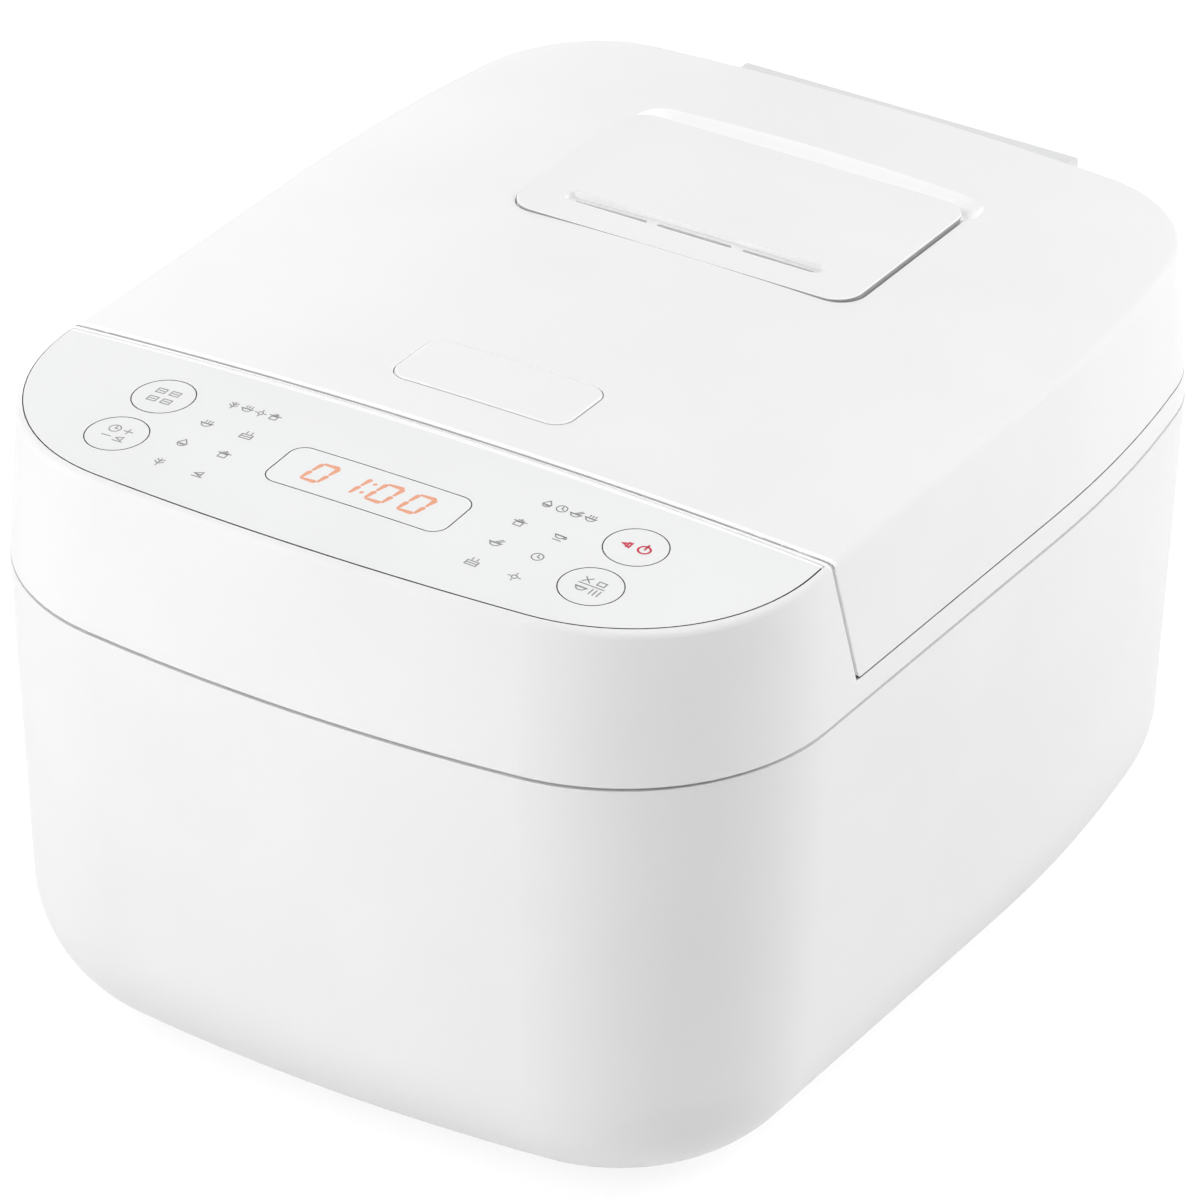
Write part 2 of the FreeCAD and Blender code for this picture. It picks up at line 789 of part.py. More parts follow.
def sensor_bracket():
    """A strap under the well that carries the sensor's spring."""
    far = plate_radius - plate_post_radius
    top = liner_floor_z - liner_wall
    thick = bracket_thickness
    lower = [(pot_y - far, top), (pot_y - far, bracket_z), (pot_y + far, bracket_z), (pot_y + far, top)]
    upper = [
        (pot_y + far - thick, top),
        (pot_y + far - thick, bracket_z + thick),
        (pot_y - far + thick, bracket_z + thick),
        (pot_y - far + thick, top),
    ]
    return side_profile(lower + upper, -bracket_width / 2, bracket_width / 2)


def thermal_fuse():
    radius, length = fuse_size
    x = (plate_radius + well_radius) / 2
    return rod_y(x, liner_floor_z - liner_wall - radius - 0.2, radius, pot_y - length / 2, pot_y + length / 2)


def pocket_plate(clear, z0, z1):
    size = (vent_pocket_size[0] - 2 * clear, vent_pocket_size[1] - 2 * clear)
    return rounded_plate(vent_pocket_side, vent_y, size, vent_corner - clear, z0, z1)


def lid_post_places():
    x = vent_pocket_size[0] / 2 + 4 * lid_post_radius
    rear = rear_y - 8 * lid_post_radius
    front = button_y + button_size[1] / 2
    return [(s * x, y) for s in (-1, 1) for y in (front, rear)]


def lid_low_corner():
    """What the rounding of the lid's low front edge takes off."""
    slope = split_slope / (lid_top_z - strip_z)
    corner = split_low_y - slope * (lid_edge_z - strip_z)
    run = lid_corner_round / math.tan(math.radians(45) + math.atan(slope) / 2)
    share = run / math.hypot(slope, 1)
    middle = (corner + run, lid_edge_z + lid_corner_round)
    sharp = side_profile([
        (corner + run, lid_edge_z - 1),
        (corner - lid_corner_round, lid_edge_z - 1),
        (corner - lid_corner_round, lid_edge_z + share),
        (corner - slope * share, lid_edge_z + share),
        middle,
    ], -reach, reach)
    return sharp.cut(rod_x(*middle, lid_corner_round, -reach, reach))


def lid_block():
    """The lid's outside, with its edges rounded."""
    block = upper_block(0, lid_edge_z, lid_top_z + 10).common(under_crown(0)).common(behind(0)).Solids[0]
    block = block.makeFillet(lid_round, crown_edges(block)[0])
    block = block.makeFillet(lid_front_round, crown_edges(block)[1])
    return block.cut(lid_low_corner())


def scoop_wire(x0, x1, y0, y1, corner, z):
    plate = rounded_plate((x0 + x1) / 2, (y0 + y1) / 2, (x1 - x0, y1 - y0), corner, z, z + 1)
    return next(f for f in plate.Faces if f.BoundBox.ZMax < z + 0.1).OuterWire


def finger_scoop():
    """A slope behind the vent where a finger gets hold of it, and the material that backs it."""
    left = vent_pocket_side - vent_pocket_size[0] / 2
    right = vent_pocket_side + vent_pocket_size[0] / 2
    rear = vent_y + vent_pocket_size[1] / 2
    low = lid_top_z - scoop_depth
    front = rear - scoop_front
    end = right + scoop_overlap
    rim = scoop_wire(left, end, front, rear + scoop_length, scoop_corners[0], lid_top_z + 0.2)
    foot = scoop_wire(left + scoop_slope, end - scoop_slope, front + 1, rear + 1, scoop_corners[1], low)
    backing = box(left - lid_wall, end, front, rear + scoop_length + 2, low - scoop_backing, lid_top_z)
    return Part.makeLoft([foot, rim], True, True), backing.common(under_crown(lid_wall / 2))


def lid_cover():
    inside = upper_block(lid_wall, lid_edge_z - 1, lid_top_z + 10)
    inside = inside.common(under_crown(lid_wall)).common(behind(lid_wall))
    cover = lid_block().cut(inside)
    slope, backing = finger_scoop()
    posts = [rod(x, y, lid_post_radius, frame_top_z, lid_top_z) for x, y in lid_post_places()]
    posts = [p.common(under_crown(lid_wall / 2)) for p in posts]
    cover = cover.fuse(posts + [backing])
    cuts = [slope, pocket_plate(0, vent_floor_z, lid_top_z + 5)]
    opening = grown(button_size, button_gap)
    corner = button_corner + button_gap
    cuts.append(rounded_plate(button_side, button_y, opening, corner, frame_top_z, lid_top_z + 5))
    side = tail_half + 2 * trim_gap
    cuts.append(box(-side, side, rear_y - 10 * wall, rear_y + 5, 0, tail_top_z() + 2 * trim_gap))
    half = latch_width / 2 + trim_gap
    cuts.append(box(-half, half, split_top_y, split_low_y + 4 * lid_wall, latch_low_z - 1, latch_top_z + 1))
    for x, y in lid_post_places():
        cuts.append(screw_hole(x, y, frame_top_z - 1, frame_top_z + screw_length))
    return cover.cut(cuts)


def grown(size, clear):
    return (size[0] + 2 * clear, size[1] + 2 * clear)


def tail_top_z():
    return hinge_z + tail_drop


def hinge_tail():
    """The block behind the lid that turns on the hinge pin."""
    rear = rear_y + hinge_reach
    start = rear_y - 6 * wall
    tail = side_profile([
        (start, frame_low_z),
        (rear_y - wall, frame_low_z),
        (hinge_y - barrel_radius / 2, hinge_z - 1.6 * barrel_radius),
        (rear, hinge_z - 1.2 * barrel_radius),
        (rear, tail_top_z()),
        (start, tail_top_z()),
    ], -tail_half, tail_half)
    back = [e for e in tail.Edges if e.BoundBox.XLength > tail_half and e.BoundBox.YMin > rear - 0.1]
    tail = tail.makeFillet(tail_round, back)
    tail = tail.cut(rod_x(hinge_y, hinge_z, pin_radius + pin_running_gap, -tail_half - 1, tail_half + 1))
    pocket_r = hinge_spring_radius + spring_wire + 1.2
    length = hinge_spring_turns * hinge_spring_pitch + 4
    for side in (-1, 1):
        x0 = hinge_spring_side - 2 if side > 0 else -hinge_spring_side - length
        pocket = rod_x(hinge_y, hinge_z, pocket_r, x0, x0 + length + 2)
        mouth = box(x0, x0 + length + 2, hinge_y - pocket_r, hinge_y + pocket_r, frame_low_z - 1, hinge_z)
        tail = tail.cut([pocket, mouth])
    return tail


def lid_frame():
    """The lid's inner moulding: a plate, the hinge tail, latch rails and spring posts."""
    plate = upper_block(lid_wall + trim_gap, frame_low_z, frame_top_z).common(behind(lid_wall + trim_gap))
    frame = plate.fuse(hinge_tail())
    rail_x = latch_width / 2 + seat_gap
    rail_y0, rail_y1 = latch_span()
    rails = []
    for x0 in (rail_x, -rail_x - lid_wall):
        rails.append(box(x0, x0 + lid_wall, rail_y0 + 8, rail_y1, frame_low_z, latch_top_z))
    stop_y = rail_y1 + latch_spring_length
    stop_x = latch_width / 3
    rails.append(box(-stop_x, stop_x, stop_y, stop_y + lid_wall, frame_low_z, latch_top_z + 2))
    post_top = button_low_z() - button_spring_length
    post_radius = button_spring_radius + 1.5
    for side in (-1, 1):
        rails.append(rod(side * button_spring_side, button_y, post_radius, frame_low_z, post_top))
    frame = frame.fuse(rails)
    cuts = [rod(vent_x, vent_y, vent_hole_radius, 0, frame_top_z + 1)]
    cuts.append(rod(lid_probe_x(), pot_y, lid_probe_radius + screw_gap, 0, frame_top_z + 1))
    for x, y in lid_post_places():
        cuts.append(screw_hole(x, y, 0, frame_top_z + 1))
        cuts.append(rod(x, y, screw_head[0] + seat_gap, 0, frame_low_z + screw_head[1]))
    return frame.cut(cuts)


def lid_probe_x():
    return pot_radius / 2


def lid_screws():
    return [screw(x, y, frame_low_z + screw_head[1], screw_length) for x, y in lid_post_places()]


def inner_lid_plate():
    top = frame_low_z - seat_gap
    plate = rod(0, pot_y, lid_plate_radius, top - lid_plate_thickness, top)
    return plate.cut(rod(vent_x, vent_y, vent_spigot_radius + 1.5, 0, top + 1))


def lid_seal():
    """A soft ring round the inner lid plate that closes on the pot's rim."""
    inner = seal_outer - seal_width
    top = frame_low_z
    low = pot_rim_z + seat_gap
    return turned([
        (inner, top - seal_drop),
        (inner + seal_width / 3, low),
        (seal_outer, low),
        (seal_outer, low + 1),
        (inner + 2 * seal_width / 3, top - 1.2),
        (seal_outer, top - 1.2),
        (seal_outer, top),
        (inner, top),
    ], 0, pot_y)


def lid_probe():
    low = frame_low_z - seat_gap
    return rod(lid_probe_x(), pot_y, lid_probe_radius, low, low + lid_probe_height)


def vent_pocket():
    """The tray under the lid that the steam vent sits in."""
    roof = lid_top_z - lid_wall
    tray = pocket_plate(-vent_tub_wall, vent_floor_z - vent_tub_wall, roof + 5)
    tray = tray.cut(pocket_plate(0, vent_floor_z, roof + 6)).common(under_crown(lid_wall + 0.2))
    start = vent_y + vent_pocket_size[1] / 2 - scoop_front - seat_gap
    low = lid_top_z - scoop_depth - scoop_backing - seat_gap
    tray = tray.cut(box(-reach, reach, start, rear_y, low, lid_top_z))
    x = vent_pocket_size[0] / 3
    y = vent_pocket_size[1] / 3
    for sx in (-1, 1):
        for sy in (-1, 1):
            leg_x = vent_pocket_side + sx * x
            leg = rod(leg_x, vent_y + sy * y, lid_post_radius, frame_top_z, vent_floor_z - vent_tub_wall / 2)
            tray = tray.fuse(leg)
    return tray.cut(rod(vent_x, vent_y, vent_hole_radius, 0, vent_floor_z + 1))


def vent_plate_size():
    return (vent_pocket_size[0] - vent_left_gap - vent_right_gap, vent_pocket_size[1] - 2 * vent_end_gap)


def vent_cover():
    """The lift-off vent cap: a flat skin with a skirt and a slotted steam outlet."""
    size = vent_plate_size()
    low = lid_top_z - vent_cover_depth
    corner = vent_corner - vent_left_gap
    cap = rounded_plate(vent_x, vent_y, size, corner, low, lid_top_z)
    cap = cap.makeFillet(vent_round, top_edges(cap))
    skin = vent_skin
    hollow = rounded_plate(vent_x, vent_y, grown(size, -skin), corner - skin / 2, low - 1, lid_top_z)
    cap = cap.cut(hollow.common(under_crown(skin + vent_slot_depth)))
    slot_y = vent_y - size[1] / 2 + vent_slot_front
    slot_round = vent_slot_size[1] / 2 - 0.01
    slot = rounded_plate(vent_slot_side, slot_y, vent_slot_size, slot_round, low, lid_top_z + 5)
    cap = cap.cut(slot.cut(under_crown(vent_slot_depth)))
    for index in (-1, 0, 1):
        slit_x = vent_slot_side + index * vent_slit_pitch
        slit = rounded_plate(slit_x, slot_y, vent_slit_size, vent_slit_size[1] / 2 - 0.01, low, lid_top_z + 5)
        cap = cap.cut(slit)
    return cap


def vent_cup():
    """The cup under the vent cap that catches drops, with a spigot down through the lid."""
    top = lid_top_z - vent_cover_depth - 0.2
    size = grown(vent_plate_size(), -vent_skin - 1)
    cup = rounded_plate(vent_x, vent_y, size, vent_corner / 2, vent_floor_z + seat_gap, top)
    inner = grown(size, -vent_tub_wall)
    floor_z = vent_floor_z + seat_gap + vent_tub_wall
    cup = cup.cut(rounded_plate(vent_x, vent_y, inner, vent_corner / 2 - 1, floor_z, top + 1))
    low = frame_low_z + 0.5
    cup = cup.fuse([
        rod(vent_x, vent_y, vent_spigot_radius, low, vent_floor_z + 1),
        rod(vent_x, vent_y, vent_spigot_radius, floor_z - 1, floor_z + 6),
    ])
    return cup.cut(rod(vent_x, vent_y, vent_spigot_radius - vent_tub_wall, low - 1, lid_top_z))


def vent_seal():
    inner = vent_spigot_radius + 0.1
    return turned([
        (inner, frame_low_z + 0.6),
        (vent_seal_outer, frame_low_z + 0.6),
        (vent_seal_outer, frame_top_z + 2),
        (inner, frame_top_z + 4),
    ], vent_x, vent_y)


def latch_span():
    """Front and rear of the latch plate: its nose stands just proud of the lid's front face."""
    slope = split_slope / (lid_top_z - strip_z)
    face_y = split_low_y - slope * (latch_low_z - strip_z)
    front = face_y - latch_nose
    return front, front + latch_length


def ramp_foot_y():
    return latch_span()[1] - latch_ramp - 4


def latch():
    """A sliding latch plate whose nose faces the catch; a ramp behind it meets the button's stem."""
    front, back = latch_span()
    half = latch_width / 2
    plate = box(-half, half, front, back, latch_low_z, latch_top_z)
    nose = [e for e in plate.Edges if e.BoundBox.YMax < front + 0.1 and e.BoundBox.XLength > half
            and e.BoundBox.ZMin > latch_top_z - 0.1]
    plate = plate.makeChamfer(latch_thickness / 2, nose)
    foot = ramp_foot_y()
    ramp = side_profile([
        (foot, latch_top_z - 0.5),
        (foot, latch_top_z),
        (foot + latch_ramp, latch_top_z + latch_ramp),
        (back, latch_top_z + latch_ramp),
        (back, latch_top_z - 0.5),
    ], -stem_width / 2, stem_width / 2)
    return plate.fuse(ramp).removeSplitter()


def button_low_z():
    """Underside of the button's plate at mid length."""
    return lid_top_z - lid_wall - 0.4


def release_button():
    """The lid button: a plate a little proud of the lid, with a skirt and a stem with a 45 degree tip."""
    low = lid_top_z - button_skirt
    plate = rounded_plate(button_side, button_y, button_size, button_corner, low, lid_top_z + 5)
    plate = plate.common(under_crown(-button_proud))
    plate = plate.makeFillet(button_round, top_edges(plate))
    inner = grown(button_size, -lid_wall)
    inner_corner = button_corner - lid_wall / 2
    plate = plate.cut(rounded_plate(button_side, button_y, inner, inner_corner, low - 1, button_low_z()))
    foot = ramp_foot_y() - 2 * seat_gap
    tip_z = latch_top_z + button_travel + 0.5
    tip_y = foot + tip_z - latch_top_z
    back = foot + latch_ramp
    stem = side_profile([
        (tip_y - latch_ramp, tip_z),
        (tip_y, tip_z),
        (back, tip_z + back - tip_y),
        (back, button_low_z() + 0.5),
        (tip_y - latch_ramp, button_low_z() + 0.5),
    ], -stem_width / 2 + 1, stem_width / 2 - 1)
    return plate.fuse(stem)


def button_springs():
    turns = 5
    pitch = (button_spring_length - 2 * spring_wire - 0.2) / turns
    springs = []
    for side in (-1, 1):
        spring = coil(button_spring_radius, spring_wire, turns, pitch)
        spring.translate(V(side * button_spring_side, button_y, button_low_z() - button_spring_length + 0.1))
        springs.append(spring)
    return springs


def latch_spring():
    turns = 6
    wire = spring_wire / 2
    pitch = (latch_spring_length - 2 * wire - 0.2) / turns
    spring = coil(latch_spring_radius, wire, turns, pitch)
    spring.rotate(V(0, 0, 0), V(1, 0, 0), -90)
    spring.translate(V(0, latch_span()[1] + 0.1, latch_low_z + latch_thickness / 2))
    return spring


def hinge_pin():
    return rod_x(hinge_y, hinge_z, pin_radius, -ear_outer + 1.6, ear_outer - 1.6)


def hinge_springs():
    """Two coils round the hinge pin."""
    springs = []
    for side in (-1, 1):
        spring = coil(hinge_spring_radius, spring_wire, hinge_spring_turns, hinge_spring_pitch)
        spring.rotate(V(0, 0, 0), V(0, 1, 0), 90 * side)
        spring.translate(V(side * hinge_spring_side, hinge_y, hinge_z))
        springs.append(spring)
    return springs


def power_screw_places():
    x = power_board_size[0] / 3
    return [(s * x, power_board_z + z) for s in (-1, 1) for z in (12.0, power_post[1] - 6)]


def power_board():
    width, height = power_board_size
    board = box(-width / 2, width / 2, power_board_y, power_board_y + board_thickness,
                power_board_z, power_board_z + height)
    for x, z in power_screw_places():
        hole = rod_y(x, z, screw_radius + screw_gap, power_board_y - 1, power_board_y + board_thickness + 1)
        board = board.cut(hole)
    return board


def power_screws():
    screws = []
    for x, z in power_screw_places():
        head = rod_y(x, z, screw_head[0], power_board_y - screw_head[1], power_board_y)
        screws.append(head.fuse(rod_y(x, z, screw_radius, power_board_y, power_board_y + screw_length - 1)))
    return screws


def on_power_board(x0, x1, depth, z0, z1):
    return box(x0, x1, power_board_y - depth, power_board_y, power_board_z + z0, power_board_z + z1)


def transformer():
    core = on_power_board(-24.0, 4.0, 22.0, 8.0, 32.0)
    return core.fuse(on_power_board(-28.0, 8.0, 17.0, 13.0, 27.0))


def relay():
    return on_power_board(14.0, 30.0, 16.0, 24.0, 44.0)


def capacitor():
    z = power_board_z + 52.0
    can = rod_y(-8.0, z, 6.0, power_board_y - 20.0, power_board_y)
    return can.makeFillet(0.8, [e for e in can.Edges if e.BoundBox.YMax < power_board_y - 19])


def power_inlet():
    """The appliance inlet in the rear wall: a flange, a body and a deep socket."""
    width, height, depth = inlet_body
    out = inlet_face_y()
    body = box(inlet_x - width / 2, inlet_x + width / 2, out - depth, out,
               inlet_z - height / 2, inlet_z + height / 2)
    flange_w, flange_h, flange_d = inlet_flange
    flange = box(inlet_x - flange_w / 2, inlet_x + flange_w / 2, out, out + flange_d,
                 inlet_z - flange_h / 2, inlet_z + flange_h / 2)
    upright = [e for e in flange.Edges if e.BoundBox.YLength > flange_d - 0.1]
    flange = flange.makeFillet(4.0, upright)
    inlet = body.fuse(flange)
    cav_w, cav_h, cav_d = inlet_cavity
    mouth = out + flange_d
    socket = box(inlet_x - cav_w / 2, inlet_x + cav_w / 2, mouth - cav_d, mouth + 1,
                 inlet_z - cav_h / 2, inlet_z + cav_h / 2)
    top = [e for e in socket.Edges if e.BoundBox.YLength > cav_d and e.BoundBox.ZMin > inlet_z]
    socket = socket.makeChamfer(cav_h / 4, top)
    inlet = inlet.cut(socket)
    for x, z in inlet_pin_places():
        inlet = inlet.cut(pin_blade(x, z, out - depth - 1, mouth - cav_d + 0.5, screw_gap))
    for side in (-1, 1):
        x = inlet_x + side * inlet_screw_pitch / 2
        inlet = inlet.cut(rod_y(x, inlet_z, screw_radius + screw_gap, out - 1, mouth + 1))
    return inlet


def wall_drop(z):
    """How far the drafted wall of the lower shell has come in at a height."""
    return shell_draft * (seam_z - z) / (seam_z - shell_low_z - bottom_round_up)


def inlet_face_y():
    """The rear wall at the inlet flange's upper edge."""
    return rear_y - wall_drop(inlet_z + inlet_flange[1] / 2)


def inlet_pin_places():
    return [(inlet_x, inlet_z + 2.0)] + [(inlet_x + s * inlet_pin_pitch, inlet_z - 2.0) for s in (-1, 1)]


def pin_blade(x, z, y0, y1, clear):
    half_w = inlet_pin[0] / 2 + clear
    half_h = inlet_pin[1] / 2 + clear
    return box(x - half_w, x + half_w, y0, y1, z - half_h, z + half_h)


def inlet_pins():
    out = inlet_face_y()
    start = out - inlet_body[2] - 4
    end = out + inlet_flange[2] - inlet_cavity[2] + inlet_pin[2]
    return [pin_blade(x, z, start, end, 0) for x, z in inlet_pin_places()]


def inlet_screws():
    face_y = inlet_face_y() + inlet_flange[2]
    screws = []
    for side in (-1, 1):
        x = inlet_x + side * inlet_screw_pitch / 2
        head = rod_y(x, inlet_z, screw_head[0], face_y, face_y + screw_head[1])
        screws.append(head.fuse(rod_y(x, inlet_z, screw_radius, face_y - screw_length, face_y)))
    return screws


def mains_lead():
    """The lead from the inlet round the well to the power board."""
    pin_x, pin_z = inlet_pin_places()[2]
    start_y = inlet_face_y() - inlet_body[2] - 4
    side_x = half_width - wall_drop(pin_z - 12) - wall - lead_wall_room
    end_x = power_board_size[0] / 2 - 3 * lead_radius
    return tube([
        (pin_x, start_y, pin_z),
        (pin_x, start_y - 9, pin_z),
        (side_x, start_y - 30, pin_z - 8),
        (side_x, front_y + body_depth / 3, pin_z - 12),
        (end_x, power_board_y + 24, pin_z - 14),
        (end_x, power_board_y + board_thickness, pin_z - 14),
    ], lead_radius, 8.0)


def ribbon_cable():
    """The flat cable from the control board down to the power board."""
    width, thick = ribbon_size
    top_y = display_y
    drop = (split_top_y - top_y) * math.tan(math.radians(panel_tilt))
    top_z = board_low_z - drop - 0.5
    low_z = power_board_z + power_board_size[1] - 10
    low_y = power_board_y - 0.1
    fold_y = low_y - 8
    points = [(top_y, top_z), (top_y, low_z + 24), (fold_y, low_z + 12), (fold_y, low_z), (low_y, low_z)]
    back = [(y + thick, z) for y, z in points[:-2]]
    back += [(fold_y + thick, low_z + thick), (low_y, low_z + thick)]
    return side_profile(points + back[::-1], 20.0, 20.0 + width)


def export(name, shape):
    solids = shape if isinstance(shape, list) else [shape]
    cleaned = [s for item in solids for s in item.Solids]
    result = cleaned[0] if len(cleaned) == 1 else Part.makeCompound(cleaned)
    print(name, len(cleaned), "solids", round(result.Volume / 1000, 2), "cm3", result.isValid())
    result.exportStep("parts/" + name + ".step")


def all_nodes():
    nodes = {
        "outer_shell": outer_shell, "base_plate": base_plate, "rubber_feet": rubber_feet,
        "base_screws": base_screws, "top_collar": top_collar, "control_panel": control_panel,
        "display_lens": display_lens, "display_module": display_module, "control_board": control_board,
        "board_screws": board_screws, "key_switches": key_switches, "inner_pot": inner_pot,
        "heat_liner": heat_liner, "heating_plate": heating_plate, "heater_element": heater_element,
        "heater_terminals": heater_terminals, "sensor_cap": sensor_cap, "sensor_spring": sensor_spring,
        "sensor_bracket": sensor_bracket, "thermal_fuse": thermal_fuse, "lid_cover": lid_cover,
        "lid_frame": lid_frame, "lid_screws": lid_screws, "inner_lid_plate": inner_lid_plate,
        "lid_seal": lid_seal, "lid_probe": lid_probe, "vent_pocket": vent_pocket,
        "vent_cover": vent_cover, "vent_cup": vent_cup, "vent_seal": vent_seal,
        "release_button": release_button, "button_springs": button_springs, "latch": latch,
        "latch_spring": latch_spring, "hinge_pin": hinge_pin, "hinge_springs": hinge_springs,
        "power_board": power_board, "power_screws": power_screws, "transformer": transformer,
        "relay": relay, "capacitor": capacitor, "power_inlet": power_inlet, "inlet_pins": inlet_pins,
        "inlet_screws": inlet_screws, "mains_lead": mains_lead, "ribbon_cable": ribbon_cable,
    }
    built = {name: make() for name, make in nodes.items()}
    for name, (x, y) in key_places.items():
        built[name] = key_cap(x, y)
    return built


os.makedirs("parts", exist_ok=True)
for node_name, node_shape in all_nodes().items():
    export(node_name, node_shape)
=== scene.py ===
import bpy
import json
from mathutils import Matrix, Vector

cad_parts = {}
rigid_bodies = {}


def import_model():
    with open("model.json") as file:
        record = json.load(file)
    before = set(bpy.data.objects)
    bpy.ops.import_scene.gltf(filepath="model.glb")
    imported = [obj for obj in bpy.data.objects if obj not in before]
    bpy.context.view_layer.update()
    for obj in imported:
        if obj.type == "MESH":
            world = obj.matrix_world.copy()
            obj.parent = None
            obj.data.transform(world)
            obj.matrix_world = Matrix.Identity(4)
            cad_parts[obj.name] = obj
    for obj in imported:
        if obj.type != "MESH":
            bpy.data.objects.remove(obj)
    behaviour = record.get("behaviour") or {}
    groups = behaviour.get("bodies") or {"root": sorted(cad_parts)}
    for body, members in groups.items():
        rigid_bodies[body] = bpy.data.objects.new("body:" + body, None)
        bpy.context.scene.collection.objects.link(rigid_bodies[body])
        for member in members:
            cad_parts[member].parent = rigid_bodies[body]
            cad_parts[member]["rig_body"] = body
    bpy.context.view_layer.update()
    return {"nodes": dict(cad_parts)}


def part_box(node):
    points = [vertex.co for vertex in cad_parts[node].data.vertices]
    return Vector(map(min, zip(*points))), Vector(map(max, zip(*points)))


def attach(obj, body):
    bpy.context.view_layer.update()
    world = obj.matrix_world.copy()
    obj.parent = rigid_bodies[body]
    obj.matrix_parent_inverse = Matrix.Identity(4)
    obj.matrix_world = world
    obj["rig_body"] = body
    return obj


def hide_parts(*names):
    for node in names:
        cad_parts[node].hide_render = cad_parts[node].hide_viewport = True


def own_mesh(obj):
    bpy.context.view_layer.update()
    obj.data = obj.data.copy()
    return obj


bl_info = {
    "name": "Rice cooker",
    "version": (1, 0, 0),
    "blender": (4, 5, 0),
    "location": "3D View > Sidebar > Cooker",
    "description": "Finishes, printed marks, display digits, springs and stage of a rice cooker",
    "category": "Object",
}

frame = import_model()

import json
import math

import bmesh
import bpy
from bpy.props import FloatProperty, FloatVectorProperty, PointerProperty, StringProperty
from bpy.types import Operator, Panel, PropertyGroup
from mathutils import Matrix, Vector

NODES = frame["nodes"]
MM = 0.001

DISPLAY_LOW, DISPLAY_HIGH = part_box("display_lens")
DISPLAY_CENTRE = (DISPLAY_LOW + DISPLAY_HIGH) / 2
POT_LOW, POT_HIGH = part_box("inner_pot")
POT_CENTRE = (POT_LOW + POT_HIGH) / 2
SEAM_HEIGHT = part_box("outer_shell")[1].z
SEAM_GAP = 1.0 * MM
FACE_ROOM = 0.03 * MM

# Where the slot and the holes in the lid lie: the centre and the reach of an ellipsoid round each.
STEAM_SLOT = ((-3.3 * MM, 48 * MM, 190 * MM), (55 * MM, 12 * MM, 40 * MM))
BUTTON_LOW, BUTTON_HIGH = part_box("release_button")
BUTTON_HOLE = ((BUTTON_LOW + BUTTON_HIGH) / 2, (45 * MM, 20 * MM, 60 * MM))
VENT_LOW, VENT_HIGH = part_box("vent_cover")
VENT_HOLE = ((VENT_LOW + VENT_HIGH) / 2, (90 * MM, 55 * MM, 60 * MM))
# The strip under the lid's edge, where shade is painted.
STRIP_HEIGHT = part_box("lid_cover")[0].z - 0.5 * MM
STRIP_REACH = 0.3 * MM
# Below this height the slits are painted dark as shade.
SLIT_HEIGHT = 198.8 * MM
SLIT_FADE = 0.1 * MM

UP = Vector((0, 0, 1))
FRONT = Vector((0, -1, 0))
FRONT_RIGHT = Vector((0.6, -0.8, 0))

# The leaning plane between lid and control housing, and the bands along it where highlights and shade are
# painted: offset behind it, reach.
SPLIT_LEAN = math.radians(15)
SPLIT_NORMAL = Vector((0, math.cos(SPLIT_LEAN), math.sin(SPLIT_LEAN)))
SPLIT_FOOT = SPLIT_NORMAL * -35.9 * MM
LID_HIGHLIGHT_BAND = (1.1 * MM, 1.0 * MM)
LID_SHADE_BAND = (0, 0.9 * MM)
COLLAR_HIGHLIGHT_BAND = (-0.8 * MM, 0.9 * MM)
PANEL_HIGHLIGHT_BAND = (-1.8 * MM, 1.5 * MM)

# A face's share of looking up: walls below the first, tops above the second.
WALL_TILT, TOP_TILT = 0.3, 0.5
SHADOW_REACH = 8 * MM
STRIP_SHADOW_REACH = 1.2 * MM
CLOUD_SIZE = 50 * MM


def colour_setting(name, description, default):
    """A colour that a user may change."""
    return FloatVectorProperty(
        name=name, description=description, subtype="COLOR", min=0, max=1, default=default)


def length_setting(name, description, default):
    """A length in metres that a user may change."""
    return FloatProperty(
        name=name, description=description, unit="LENGTH", min=0, default=default, precision=5)


def share_setting(name, description, default):
    """A share between none and all that a user may change."""
    return FloatProperty(
        name=name, description=description, subtype="FACTOR", min=0, max=1, default=default)


def power_setting(name, description, watts):
    """The power of a light that a user may change."""
    return FloatProperty(name=name, description=description, subtype="POWER", min=0, default=watts)


def angle_setting(name, description, degrees):
    """An angle that a user may change."""
    return FloatProperty(
        name=name, description=description, subtype="ANGLE", default=math.radians(degrees))


